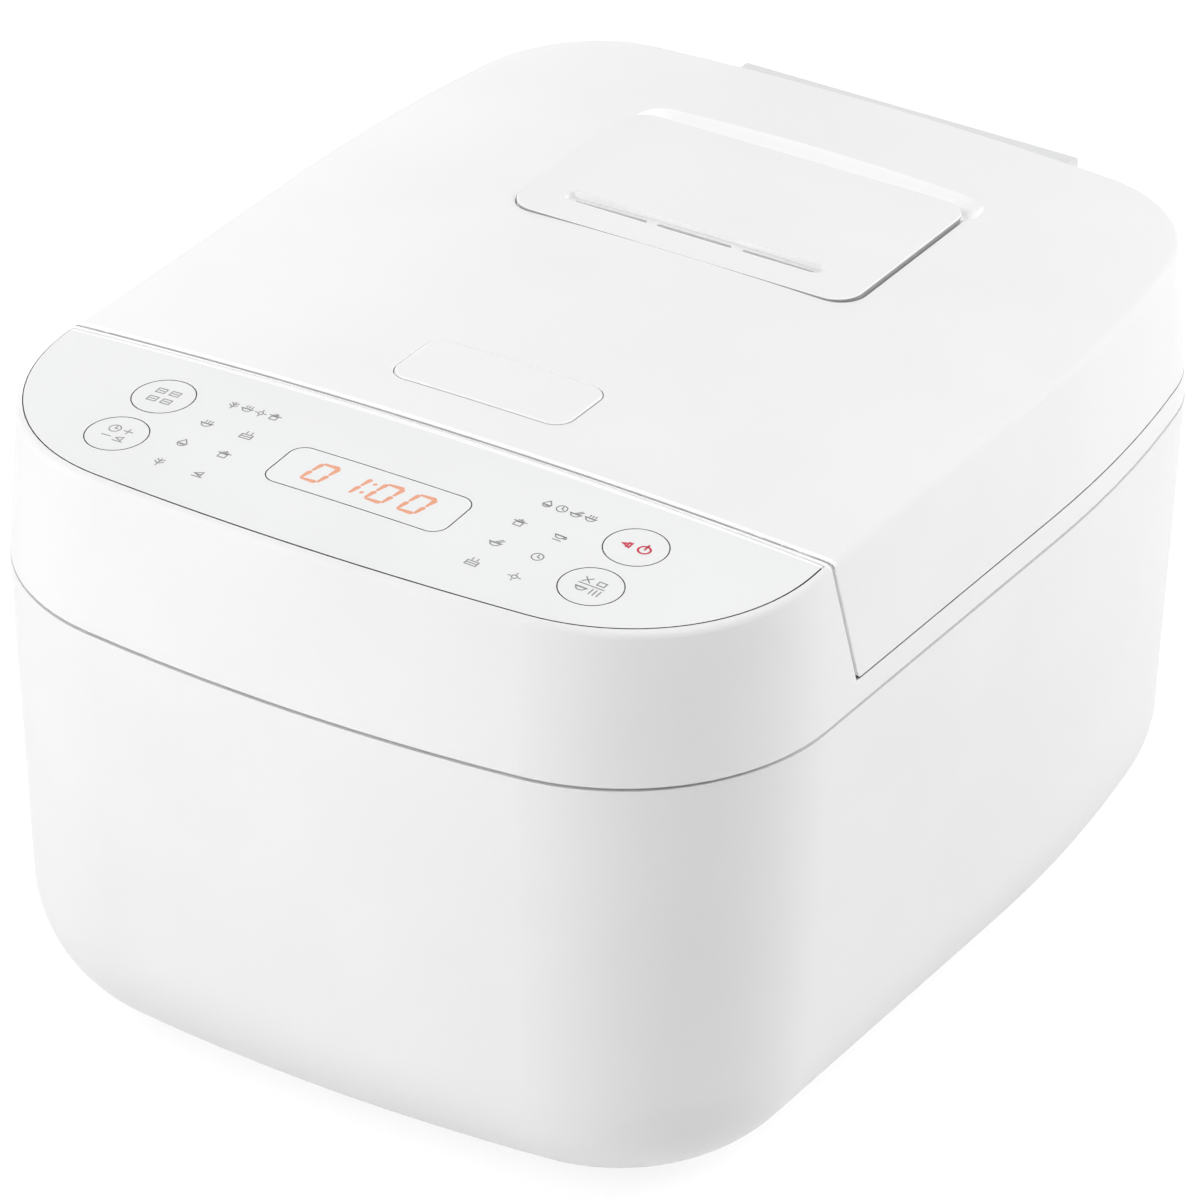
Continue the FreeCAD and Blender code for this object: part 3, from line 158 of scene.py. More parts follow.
class CookerFinish(PropertyGroup):
    """Colours and surface of the finishes, with the colours of painted highlights and shade"""

    shell_white: colour_setting("Shell white", "Plastic of body, lid, vent and button", (0.88, 0.88, 0.88))
    panel_white: colour_setting("Panel white", "Plastic of the panel and its keys", (0.875, 0.88, 0.88))
    lens_white: colour_setting("Lens white", "Gloss plastic over the display", (0.88, 0.885, 0.89))
    inner_grey: colour_setting("Inner grey", "Matt plastic inside the lid", (0.76, 0.765, 0.765))
    base_grey: colour_setting("Base grey", "Matt plastic of the base plate", (0.70, 0.70, 0.69))
    inlet_black: colour_setting("Inlet black", "Matt plastic of the power inlet", (0.035, 0.035, 0.037))
    foot_grey: colour_setting("Foot grey", "Rubber of the feet", (0.09, 0.09, 0.092))
    seal_white: colour_setting("Seal white", "Silicone of the seals", (0.70, 0.70, 0.68))
    pot_black: colour_setting("Pot black", "Coat inside the pot", (0.028, 0.028, 0.030))
    pot_outside: colour_setting("Pot outside", "Coat outside the pot", (0.10, 0.092, 0.085))
    aluminium: colour_setting("Aluminium", "Plates of the lid and the heater", (0.74, 0.74, 0.75))
    steel: colour_setting("Steel", "Screws, springs, pins and liner", (0.58, 0.57, 0.56))
    # Painted shade: grey for the faces inside the seam, standing in for the shade there.
    seam_shade_grey: colour_setting("Seam shade grey", "Faces inside the seam under the collar", (0.8, 0.8, 0.8))
    # Painted shade: grey on the lid's rounded edge in the split, standing in for the shade in the gap.
    split_shade_grey: colour_setting("Split shade grey", "Lid's edge in the split", (0.45, 0.45, 0.45))
    # Painted highlight: near-white for edges along the split and the button and for the walls of the holes,
    # standing in for the light they catch.
    highlight_white: colour_setting("Painted highlight white", "Edges along the split and the button", (0.99, 0.99, 0.99))
    # Painted shade: dark grey for the depths of the slits and the strip under the lid's edge.
    gap_shade_grey: colour_setting("Gap shade grey", "Depths of the slits and under the lid", (0.2, 0.2, 0.2))
    # Painted shade: grey for the front and right walls of the vent cover and button where the lid covers
    # them.
    cap_wall_shade: colour_setting("Cap wall shade", "Walls of the vent cover and the button", (0.4, 0.4, 0.4))
    # Painted shade: near-black walls round the keys, display and panel, standing in for the shade in their
    # gaps.
    line_shade_grey: colour_setting("Line shade grey", "Lines round the keys, display and panel", (0.045, 0.045, 0.046))
    ink_grey: colour_setting("Ink grey", "Printed marks", (0.22, 0.22, 0.225))
    ink_red: colour_setting("Ink red", "Printed mark of the start key", (0.55, 0.012, 0.055))
    digit_glow: colour_setting("Digit glow", "Light of the display", (0.77, 0.33, 0.19))
    grain: length_setting("Grain", "Size of the moulded grain on the shell", 0.0006)
    shell_roughness: share_setting("Shell roughness", "Roughness of the satin plastic", 0.36)
    shell_shine: share_setting("Shell shine", "How much the satin plastic mirrors", 0.3)
    panel_roughness: share_setting("Panel roughness", "Roughness of the gloss panel", 0.2)


class CookerMarks(PropertyGroup):
    """Sizes of the display's digits and of the printed marks"""

    shown_time: StringProperty(
        name="Shown time", description="Time on the display", default="01:00", maxlen=5)
    digit_height: length_setting("Digit height", "Height of a digit", 0.0106)
    digit_width: length_setting("Digit width", "Width of a digit", 0.0069)
    digit_pitch: length_setting("Digit pitch", "Distance from one digit to the next", 0.0107)
    segment_width: length_setting("Segment width", "Width of a lit segment", 0.0014)
    digit_slant: angle_setting("Digit slant", "Lean of the digits", 11)
    mark_size: length_setting("Mark size", "Height of a menu mark", 0.0040)
    mark_line: length_setting("Mark line", "Width of a printed line", 0.00036)
    title_pitch: length_setting("Title pitch", "Distance between the marks of a title", 0.00465)
    key_mark_size: length_setting("Key mark size", "Height of the mark on a key", 0.0084)
    ink_height: length_setting("Ink height", "How far ink stands off its surface", 0.00004)
    pot_digit_height: length_setting("Pot digit height", "Height of a number of the pot's scale", 0.0055)
    pot_level_pitch: length_setting("Pot level pitch", "Height from one level to the next", 0.0130)


class CookerStage(PropertyGroup):
    """Camera, lights and floor"""

    view_azimuth: angle_setting("View azimuth", "Camera angle round the cooker", 32.142)
    view_elevation: angle_setting("View elevation", "Camera angle above the floor", 30.048)
    view_roll: angle_setting("View roll", "Camera roll", 0.452)
    view_distance: length_setting("View distance", "Camera distance", 2.6444)
    view_lens: FloatProperty(name="View lens", description="Focal length in millimetres", default=271.43)
    aim: FloatVectorProperty(
        name="Aim", description="Point that the camera looks at", subtype="XYZ_LENGTH",
        default=(-0.003516, -0.001489, 0.101056))
    fill: FloatProperty(name="Fill", description="Light from all round", default=0.15)
    light_distance: length_setting("Light distance", "From the cooker's middle to each light", 1.7)
    light_size: length_setting("Light size", "Width of each round light", 1.1)
    right_power: power_setting("Right power", "Light at the rear right", 21.4)
    left_power: power_setting("Left power", "Light at the left", 3.4)
    front_power: power_setting("Front power", "Light in front, high up", 12.3)
    low_power: power_setting("Low power", "Light in front, low down", 8.8)
    rear_power: power_setting("Rear power", "Light at the rear left", 9.0)
    floor_white: colour_setting("Floor white", "Colour of the floor", (0.79, 0.79, 0.79))


def add_node(material, kind, **settings):
    """A shader node with its settings."""
    node = material.node_tree.nodes.new(kind)
    for name, value in settings.items():
        setattr(node, name, value)
    return node


def join(material, source, target):
    """Links a node's output to an input."""
    material.node_tree.links.new(source, target)


def shader_of(material):
    """The shader that a finish sets."""
    return material.node_tree.nodes["Principled BSDF"]


def new_finish(name, colour, roughness, metallic=0.0):
    """A material with its plain values set on the shader."""
    material = bpy.data.materials.new(name)
    material.use_nodes = True
    inputs = shader_of(material).inputs
    inputs["Base Color"].default_value = (*colour, 1.0)
    inputs["Roughness"].default_value = roughness
    inputs["Metallic"].default_value = metallic
    return material


def place_on_piece(material, centre=(0, 0, 0), stretch=(1, 1, 1)):
    """Object coordinates, moved to a centre and stretched."""
    place = add_node(material, "ShaderNodeTexCoord")
    mapping = add_node(material, "ShaderNodeMapping")
    mapping.inputs["Location"].default_value = [-c * s for c, s in zip(centre, stretch)]
    mapping.inputs["Scale"].default_value = stretch
    join(material, place.outputs["Object"], mapping.inputs["Vector"])
    return mapping.outputs["Vector"]


def noise(material, size, detail=2.0, stretch=(1, 1, 1)):
    """A noise whose lumps are about a given size across."""
    texture = add_node(material, "ShaderNodeTexNoise")
    texture.inputs["Scale"].default_value = 1.0 / size
    texture.inputs["Detail"].default_value = detail
    join(material, place_on_piece(material, stretch=stretch), texture.inputs["Vector"])
    return texture.outputs["Fac"]


def rings(material, pitch, centre, wobble=1.5):
    """Turning marks round an upright axis."""
    texture = add_node(material, "ShaderNodeTexWave", wave_type="RINGS", rings_direction="Z")
    # The wave repeats after tau / 20 of its scale.
    texture.inputs["Scale"].default_value = math.tau / (20 * pitch)
    texture.inputs["Distortion"].default_value = wobble
    texture.inputs["Detail"].default_value = 3.0
    join(material, place_on_piece(material, centre), texture.inputs["Vector"])
    return texture.outputs["Fac"]


def spread(material, factor, low, high, start=0.3, stop=0.7):
    """The factor, spread over a new range."""
    node = add_node(material, "ShaderNodeMapRange")
    for name, value in (("From Min", start), ("From Max", stop), ("To Min", low), ("To Max", high)):
        node.inputs[name].default_value = value
    join(material, factor, node.inputs["Value"])
    return node.outputs["Result"]


def mixed_colour(material, factor, first, second):
    """A colour between two, each a colour or another node's output."""
    node = add_node(material, "ShaderNodeMix", data_type="RGBA")
    join(material, factor, node.inputs["Factor"])
    for name, value in (("A", first), ("B", second)):
        socket = next(s for s in node.inputs if s.name == name and s.type == "RGBA")
        if isinstance(value, bpy.types.NodeSocket):
            join(material, value, socket)
        else:
            socket.default_value = (*value, 1.0)
    return next(s for s in node.outputs if s.type == "RGBA")


def shaded(colour, share):
    """A colour made darker or lighter by a share."""
    return tuple(min(1.0, c * share) for c in colour)


def vary_colour(material, factor, colour, share):
    """Colour that drifts a little lighter and darker."""
    output = mixed_colour(material, factor, shaded(colour, 1 - share), shaded(colour, 1 + share))
    join(material, output, shader_of(material).inputs["Base Color"])


def vary_roughness(material, factor, low, high):
    """Roughness that drifts between two values."""
    join(material, spread(material, factor, low, high), shader_of(material).inputs["Roughness"])


def add_bump(material, height, depth):
    """Bump of a depth in metres."""
    node = add_node(material, "ShaderNodeBump")
    node.inputs["Strength"].default_value = 1.0
    node.inputs["Distance"].default_value = depth
    join(material, height, node.inputs["Height"])
    join(material, node.outputs["Normal"], shader_of(material).inputs["Normal"])


def moulded_plastic(name, colour, roughness, grain, depth, drift=0.012):
    """Plastic from a grained mould: fine bump, uneven gloss and a slow drift of colour."""
    material = new_finish(name, colour, roughness)
    fine = noise(material, grain)
    cloud = noise(material, CLOUD_SIZE, 1.0)
    vary_colour(material, spread(material, cloud, 0, 1), colour, drift)
    vary_roughness(material, fine, roughness - 0.04, roughness + 0.04)
    add_bump(material, fine, depth)
    return material


def distance_from(material, centre=(0, 0, 0), stretch=(1, 1, 1)):
    """How far a point lies from a centre, in stretched lengths."""
    node = add_node(material, "ShaderNodeVectorMath", operation="LENGTH")
    join(material, place_on_piece(material, centre, stretch), node.inputs[0])
    return node.outputs["Value"]


def within(material, centre, reach):
    """One inside an ellipsoid, nought outside it."""
    return spread(material, distance_from(material, centre, [1 / r for r in reach]), 1, 0, 0.95, 1.05)


def near(material, value, middle, reach):
    """One where a value is within a reach of a middle value."""
    node = add_node(material, "ShaderNodeMath", operation="COMPARE")
    join(material, value, node.inputs[0])
    node.inputs[1].default_value = middle
    node.inputs[2].default_value = reach
    return node.outputs["Value"]


def both(material, first, second, operation="MULTIPLY"):
    """Two factors taken together."""
    node = add_node(material, "ShaderNodeMath", operation=operation)
    join(material, first, node.inputs[0])
    join(material, second, node.inputs[1])
    return node.outputs["Value"]


def own_normal(material):
    """The way a face looks in its piece's own frame, so that a finish moves with the piece."""
    node = add_node(material, "ShaderNodeVectorTransform", vector_type="NORMAL",
                    convert_from="WORLD", convert_to="OBJECT")
    face = add_node(material, "ShaderNodeNewGeometry")
    join(material, face.outputs["True Normal"], node.inputs["Vector"])
    return node.outputs["Vector"]


def along(material, vector, direction):
    """How far a vector reaches in a direction."""
    node = add_node(material, "ShaderNodeVectorMath", operation="DOT_PRODUCT")
    join(material, vector, node.inputs[0])
    node.inputs[1].default_value = direction
    return node.outputs["Value"]


def facing(material, direction):
    """How squarely a face looks in a direction."""
    return along(material, own_normal(material), direction)


def on_top(material):
    """One on faces that look up, nought on walls."""
    return spread(material, facing(material, UP), 0, 1, WALL_TILT, TOP_TILT)


def on_wall(material, tilt):
    """One on walls that lean less than a tilt up or down."""
    return near(material, facing(material, UP), 0, tilt)


def height_of(material):
    """Height of a point on a piece."""
    return along(material, place_on_piece(material), UP)


def near_split(material, offset, reach):
    """One within a reach of a plane at an offset behind the split between lid and control housing."""
    behind = along(material, place_on_piece(material, SPLIT_FOOT), SPLIT_NORMAL)
    return near(material, behind, offset, reach)


def covered(material, reach):
    """One deep in a gap, nought where nothing lies within a reach; it sets where shade is painted."""
    node = add_node(material, "ShaderNodeAmbientOcclusion", samples=8)
    node.inputs["Distance"].default_value = reach
    return spread(material, node.outputs["AO"], 1, 0, 0.5, 0.9)


def tint(material, factor, colour):
    """Lays a colour over a finish; every such colour here is painted light or shade."""
    base = shader_of(material).inputs["Base Color"]
    join(material, mixed_colour(material, factor, base.links[0].from_socket, colour), base)


def shade_walls(material, colour, spared=None):
    """Paints shade on upright walls, which show only as thin lines round a piece, but not on the spared
    ones.
    """
    walls = spread(material, facing(material, UP), 1, 0, WALL_TILT, TOP_TILT)
    if spared:
        walls = both(material, walls, spared, "SUBTRACT")
    tint(material, walls, colour)


def shade_heights(material, low, high, colour):
    """Paints shade on the part of a piece between two heights, which shows only inside a seam."""
    inside = near(material, height_of(material), (low + high) / 2, (high - low) / 2)
    tint(material, inside, colour)


def turned_metal(name, colour, roughness, pitch, centre):
    """Metal with fine turning marks round an axis."""
    material = new_finish(name, colour, roughness, 1.0)
    marks = rings(material, pitch, centre)
    cloud = noise(material, 30 * MM)
    vary_colour(material, marks, colour, 0.02)
    vary_roughness(material, cloud, roughness - 0.02, roughness + 0.03)
    add_bump(material, marks, 0.004 * MM)
    return material


def brushed_metal(name, colour, roughness, stretch):
    """Metal with a drawn or brushed grain in one direction."""
    material = new_finish(name, colour, roughness, 1.0)
    streaks = noise(material, 1.2 * MM, 3.0, stretch)
    vary_colour(material, spread(material, streaks, 0, 1), colour, 0.06)
    vary_roughness(material, streaks, roughness - 0.08, roughness + 0.1)
    add_bump(material, streaks, 0.008 * MM)
    return material


def speckled(material, size, share):
    """Small round specks, thinned out to a share of the cells."""
    texture = add_node(material, "ShaderNodeTexVoronoi")
    texture.inputs["Scale"].default_value = 1.0 / size
    join(material, place_on_piece(material), texture.inputs["Vector"])
    return spread(material, texture.outputs["Distance"], 1, 0, share * 0.6, share)


def facing_out(material, centre):
    """One where a surface faces away from a centre, nought where it faces the centre."""
    product = add_node(material, "ShaderNodeVectorMath", operation="DOT_PRODUCT")
    join(material, own_normal(material), product.inputs[0])
    join(material, place_on_piece(material, centre), product.inputs[1])
    return spread(material, product.outputs["Value"], 0, 1, 0, 2 * MM)


def pot_finish(finish):
    """Black speckled coat inside, a warm dark coat outside."""
    material = new_finish("pot_coats", finish.pot_black, 0.42)
    specks = speckled(material, 2.2 * MM, 0.22)
    inside = mixed_colour(material, specks, finish.pot_black, shaded(finish.pot_black, 5))
    out = facing_out(material, POT_CENTRE)
    coats = mixed_colour(material, out, inside, finish.pot_outside)
    join(material, coats, shader_of(material).inputs["Base Color"])
    fine = noise(material, 0.9 * MM)
    vary_roughness(material, fine, 0.36, 0.48)
    add_bump(material, fine, 0.012 * MM)
    shader_of(material).inputs["Metallic"].default_value = 0.25
    return material


def board_finish():
    """Green lacquer over copper tracks."""
    green = (0.02, 0.12, 0.05)
    material = new_finish("circuit_board", green, 0.35)
    texture = add_node(material, "ShaderNodeTexBrick")
    texture.inputs["Scale"].default_value = 90.0
    texture.inputs["Mortar Size"].default_value = 0.06
    join(material, place_on_piece(material), texture.inputs["Vector"])
    tracks = mixed_colour(material, texture.outputs["Fac"], green, (0.06, 0.24, 0.09))
    join(material, tracks, shader_of(material).inputs["Base Color"])
    add_bump(material, texture.outputs["Fac"], 0.03 * MM)
    return material


def winding_finish():
    """Enamelled copper wire, wound close."""
    copper = (0.55, 0.22, 0.08)
    material = new_finish("copper_winding", copper, 0.3, 1.0)
    texture = add_node(material, "ShaderNodeTexWave", bands_direction="X")
    texture.inputs["Scale"].default_value = 400.0
    join(material, place_on_piece(material), texture.inputs["Vector"])
    vary_colour(material, texture.outputs["Fac"], copper, 0.2)
    add_bump(material, texture.outputs["Fac"], 0.08 * MM)
    return material


def ink_finish(name, colour):
    """Printed ink, a little uneven in cover."""
    material = new_finish(name, colour, 0.45)
    cover = noise(material, 0.5 * MM, 3.0)
    vary_colour(material, spread(material, cover, 0, 1), colour, 0.12)
    vary_roughness(material, cover, 0.38, 0.55)
    return material


def glow_finish(finish):
    """Light of the display, a little uneven along each segment."""
    material = new_finish("lit_digits", shaded(finish.digit_glow, 0.25), 0.4)
    uneven = spread(material, noise(material, 1.1 * MM, 1.0), 0, 1)
    dim, bright = shaded(finish.digit_glow, 0.94), shaded(finish.digit_glow, 1.06)
    glow = mixed_colour(material, uneven, dim, bright)
    inputs = shader_of(material).inputs
    join(material, glow, inputs["Emission Color"])
    inputs["Emission Strength"].default_value = 0.75
    return material


def show(thing):
    """Puts an object into the scene."""
    bpy.context.scene.collection.objects.link(thing)


def give(material, *names):
    """Gives CAD pieces a finish."""
    for name in names:
        for slot in NODES[name].material_slots:
            slot.material = material


def named_like(ending):
    """CAD pieces whose names end alike."""
    return [name for name in NODES if name.endswith(ending)]


class COOKER_OT_white_plastics(Operator):
    """Gives the body, lid, vent cover, button, panel and display window their white plastics, with painted
    highlights and painted shade along the gaps and seams
    """

    bl_idname = "cooker.white_plastics"
    bl_label = "White plastics"

    def satin(self, name, finish):
        material = moulded_plastic(
            name, finish.shell_white, finish.shell_roughness, finish.grain, depth=0.004 * MM)
        shader_of(material).inputs["Specular IOR Level"].default_value = finish.shell_shine
        return material

    def gloss(self, name, colour, finish, depth):
        return moulded_plastic(name, colour, finish.panel_roughness, finish.grain, depth)

    def lid_plastic(self, finish):
        """A painted highlight along the split, a painted shade line on the lid's edge in the split, and
        walls in the holes painted pale as if lit.
        """
        lid = self.satin("lid_plastic", finish)
        # Painted highlight on the lid's top along the split.
        tint(lid, both(lid, on_top(lid), near_split(lid, *LID_HIGHLIGHT_BAND)), finish.highlight_white)
        # Painted shade: the lid's front rounding next to the split is painted grey.
        rounding = near(lid, facing(lid, UP), 0.2, 0.3)
        edge = both(lid, rounding, near_split(lid, *LID_SHADE_BAND))
        tint(lid, both(lid, edge, near(lid, facing(lid, FRONT), 1, 0.5)), finish.split_shade_grey)
        # Painted light: the walls of the button and vent holes are painted pale so the gaps look lit.
        for hole in (BUTTON_HOLE, VENT_HOLE):
            tint(lid, both(lid, on_wall(lid, 0.9), within(lid, *hole)), finish.highlight_white)
        return lid

    def shell_plastic(self, finish):
        """Painted shade on the face inside the seam."""
        shell = self.satin("shell_plastic", finish)
        shade_heights(shell, SEAM_HEIGHT - FACE_ROOM, SEAM_HEIGHT + FACE_ROOM, finish.seam_shade_grey)
        return shell

    def collar_plastic(self, finish):
        """Painted shade on the faces inside the seam, a painted highlight on the rim along the split and
        painted shade in the gap under the lid.
        """
        collar = self.satin("collar_plastic", finish)
        # Painted shade on the collar's faces inside the seam.
        shade_heights(collar, 0, SEAM_HEIGHT + SEAM_GAP + FACE_ROOM, finish.seam_shade_grey)
        # Painted highlight on the collar's top along the split.
        rim = both(collar, on_top(collar), near_split(collar, *COLLAR_HIGHLIGHT_BAND))
        tint(collar, rim, finish.highlight_white)
        # Painted shade in the gap under the lid, where ambient occlusion finds the strip covered.
        strip = near(collar, height_of(collar), STRIP_HEIGHT, STRIP_REACH)
        tint(collar, both(collar, strip, covered(collar, STRIP_SHADOW_REACH)), finish.gap_shade_grey)
        return collar

    def cap_plastic(self, finish):
        """Walls painted pale as if lit, painted shade on the front and right ones where the lid covers
        them, and painted shade in the slits.
        """
        cap = self.satin("cap_plastic", finish)
        # Painted light: the cap's walls are painted pale.
        tint(cap, on_wall(cap, 0.9), finish.highlight_white)
        # Painted shade on the front and right walls where ambient occlusion finds them covered.
        front = spread(cap, facing(cap, FRONT_RIGHT), 0, 1, 0.15, 0.45)
        wall = both(cap, front, on_wall(cap, 0.4))
        slot = within(cap, *STEAM_SLOT)
        shadow = both(cap, wall, covered(cap, SHADOW_REACH))
        tint(cap, both(cap, shadow, slot, "SUBTRACT"), finish.cap_wall_shade)
        # Painted shade in the depths of the slits.
        deep = spread(cap, height_of(cap), 1, 0, SLIT_HEIGHT - SLIT_FADE, SLIT_HEIGHT)
        tint(cap, both(cap, slot, deep), finish.gap_shade_grey)
        return cap

    def panel_plastic(self, finish):
        """Painted shade on the walls that show as lines round the panel and keys, and a painted highlight
        along the split.
        """
        panel = self.gloss("panel_plastic", finish.panel_white, finish, 0.002 * MM)
        # Painted highlight on the panel's rear edge along the split, which is also spared the painted
        # shade.
        rear_edge = near_split(panel, *PANEL_HIGHLIGHT_BAND)
        tint(panel, rear_edge, finish.highlight_white)
        shade_walls(panel, finish.line_shade_grey, rear_edge)
        return panel

    def execute(self, context):
        finish = context.scene.cooker_finish
        give(self.lid_plastic(finish), "lid_cover")
        give(self.shell_plastic(finish), "outer_shell")
        give(self.collar_plastic(finish), "top_collar")
        give(self.cap_plastic(finish), "vent_cover", "release_button")
        give(self.panel_plastic(finish), "control_panel", *KEY_MARKS)
        lens = self.gloss("lens_plastic", finish.lens_white, finish, 0.001 * MM)
        # Painted shade on the lens's walls, which show as the line round the display.
        shade_walls(lens, finish.line_shade_grey)
        give(lens, "display_lens")
        return {"FINISHED"}


CERAMIC_CREAM = (0.72, 0.68, 0.58)
BRASS = (0.66, 0.46, 0.19)
DRAWN_ALONG = (1, 8, 1)


class COOKER_OT_inner_plastics(Operator):
    """Gives the lid's inside, the vent, base, inlet, feet and seals their matt finishes"""

    bl_idname = "cooker.inner_plastics"
    bl_label = "Inner plastics, rubber and silicone"

    def execute(self, context):
        finish = context.scene.cooker_finish
        inner = moulded_plastic("inner_plastic", finish.inner_grey, 0.5, 0.9 * MM, 0.012 * MM)
        give(inner, "lid_frame", "vent_pocket", "vent_cup", "latch")
        base = moulded_plastic("base_plastic", finish.base_grey, 0.55, 1.1 * MM, 0.018 * MM)
        give(base, "base_plate")
        inlet = moulded_plastic("inlet_plastic", finish.inlet_black, 0.5, 0.7 * MM, 0.02 * MM, drift=0.1)
        give(inlet, "power_inlet", "display_module", "key_switches", "relay", "capacitor", "mains_lead")
        rubber = moulded_plastic("foot_rubber", finish.foot_grey, 0.75, 0.8 * MM, 0.03 * MM, drift=0.08)
        give(rubber, "rubber_feet")
        silicone = moulded_plastic(
            "seal_silicone", finish.seal_white, 0.42, 1.5 * MM, 0.01 * MM, drift=0.02)
        inputs = shader_of(silicone).inputs
        inputs["Subsurface Weight"].default_value = 0.3
        inputs["Subsurface Radius"].default_value = (2 * MM, 2 * MM, 1.8 * MM)
        give(silicone, "lid_seal", "vent_seal", "ribbon_cable")
        ceramic = moulded_plastic(
            "terminal_ceramic", CERAMIC_CREAM, 0.35, 0.6 * MM, 0.01 * MM, drift=0.04)
        give(ceramic, "heater_terminals")
        return {"FINISHED"}


class COOKER_OT_metals(Operator):
    """Gives the plates, pins, screws, springs and liner their metals"""

    bl_idname = "cooker.metals"
    bl_label = "Metals"

    def execute(self, context):
        finish = context.scene.cooker_finish
        turned = turned_metal("turned_aluminium", finish.aluminium, 0.32, 0.9 * MM, POT_CENTRE)
        give(turned, "inner_lid_plate", "heating_plate", "sensor_cap")
        liner = turned_metal("spun_liner", finish.steel, 0.38, 1.4 * MM, POT_CENTRE)
        give(liner, "heat_liner")
        steel = brushed_metal("drawn_steel", finish.steel, 0.34, DRAWN_ALONG)
        give(steel, *named_like("_screws"), *named_like("_spring"), *named_like("_springs"))
        give(steel, "hinge_pin", "lid_probe", "heater_element", "sensor_bracket")
        brass = brushed_metal("pin_brass", BRASS, 0.3, DRAWN_ALONG)
        give(brass, "inlet_pins", "thermal_fuse")
        give(board_finish(), "control_board", "power_board")
        give(winding_finish(), "transformer")
        return {"FINISHED"}


class COOKER_OT_pot_coat(Operator):
    """Gives the inner pot its two coats"""

    bl_idname = "cooker.pot_coat"
    bl_label = "Pot coats"

    def execute(self, context):
        give(pot_finish(context.scene.cooker_finish), "inner_pot")
        return {"FINISHED"}


LIT_SEGMENTS = {
    "0": "abcdef", "1": "bc", "2": "abdeg", "3": "abcdg", "4": "bcfg",
    "5": "acdfg", "6": "acdefg", "7": "abc", "8": "abcdefg", "9": "abcdfg",
}
SEGMENT_PLACES = {
    "a": (0, 1), "b": (1, 0.5), "c": (1, -0.5), "d": (0, -1),
    "e": (-1, -0.5), "f": (-1, 0.5), "g": (0, 0),
}
UPRIGHT_SEGMENTS = "bcef"
SEGMENT_ROOM = 0.3
COLON_DOT = 0.55


def add_bar(mesh, start, end, width):
    """A flat bar from one point to another."""
    start, end = Vector(start), Vector(end)
    run = end - start
    made = bmesh.ops.create_grid(mesh, x_segments=1, y_segments=1, size=0.5)
    turn = Matrix.Rotation(math.atan2(run.y, run.x), 4, "Z")
    size = Matrix.Diagonal((run.length + width, width, 1, 1))
    middle = Matrix.Translation(((start + end) / 2).to_3d())
    bmesh.ops.transform(mesh, matrix=middle @ turn @ size, verts=made["verts"])


def add_outline(mesh, centre, radius, width, sides=24, turn=0.0, squash=1.0, half=False):
    """A flat ring, or the outline of a shape with few sides; half keeps what lies below its middle."""
    made = bmesh.ops.create_circle(mesh, cap_ends=True, segments=sides, radius=radius)
    verts = made["verts"]
    shape = Matrix.Diagonal((1, squash, 1, 1)) @ Matrix.Rotation(turn, 4, "Z")
    bmesh.ops.transform(mesh, matrix=Matrix.Translation((*centre, 0)) @ shape, verts=verts)
    faces = list({f for v in verts for f in v.link_faces})
    if half:
        parts = faces + list({e for f in faces for e in f.edges}) + verts
        cut = bmesh.ops.bisect_plane(
            mesh, geom=parts, plane_co=(*centre, 0), plane_no=(0, 1, 0), clear_outer=True)
        faces = [g for g in cut["geom"] if isinstance(g, bmesh.types.BMFace)]
    bmesh.ops.inset_region(mesh, faces=faces, thickness=width, use_boundary=True, use_even_offset=True)
    bmesh.ops.delete(mesh, geom=faces, context="FACES")


def add_dot(mesh, centre, radius, sides):
    """A flat filled shape."""
    made = bmesh.ops.create_circle(mesh, cap_ends=True, segments=sides, radius=radius)
    bmesh.ops.translate(mesh, vec=(*centre, 0), verts=made["verts"])


def add_segment(mesh, centre, length, width, upright):
    """One pointed segment of a digit."""
    made = bmesh.ops.create_circle(mesh, cap_ends=True, segments=6, radius=width / math.sqrt(3))
    for vert in made["verts"]:
        vert.co.x += math.copysign((length - width) / 2, vert.co.x)
    turn = Matrix.Rotation(math.pi / 2 if upright else 0, 4, "Z")
    bmesh.ops.transform(mesh, matrix=Matrix.Translation((*centre, 0)) @ turn, verts=made["verts"])


def thicken(mesh, height):
    """Makes flat shapes closed solids that reach a height above and below their plane."""
    bmesh.ops.translate(mesh, vec=(0, 0, -height), verts=mesh.verts)
    made = bmesh.ops.extrude_face_region(mesh, geom=mesh.faces[:])
    lifted = [g for g in made["geom"] if isinstance(g, bmesh.types.BMVert)]
    bmesh.ops.translate(mesh, vec=(0, 0, 2 * height), verts=lifted)
    bmesh.ops.recalc_face_normals(mesh, faces=mesh.faces)


def lay_on(mesh, node):
    """Lowers a flat shape on to the top of a CAD piece."""
    for vert in mesh.verts:
        above = Vector((vert.co.x, vert.co.y, 1.0))
        hit, place, _, _ = NODES[node].ray_cast(above, Vector((0, 0, -1)))
        if not hit:
            raise RuntimeError("a mark reaches past the edge of " + node)
        vert.co.z += place.z


def new_piece(name, mesh, material, body):
    """A finished piece that rides on a body."""
    data = bpy.data.meshes.new(name)
    mesh.to_mesh(data)
    mesh.free()
    data.materials.append(material)
    piece = bpy.data.objects.new(name, data)
    show(piece)
    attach(piece, body)
    return piece


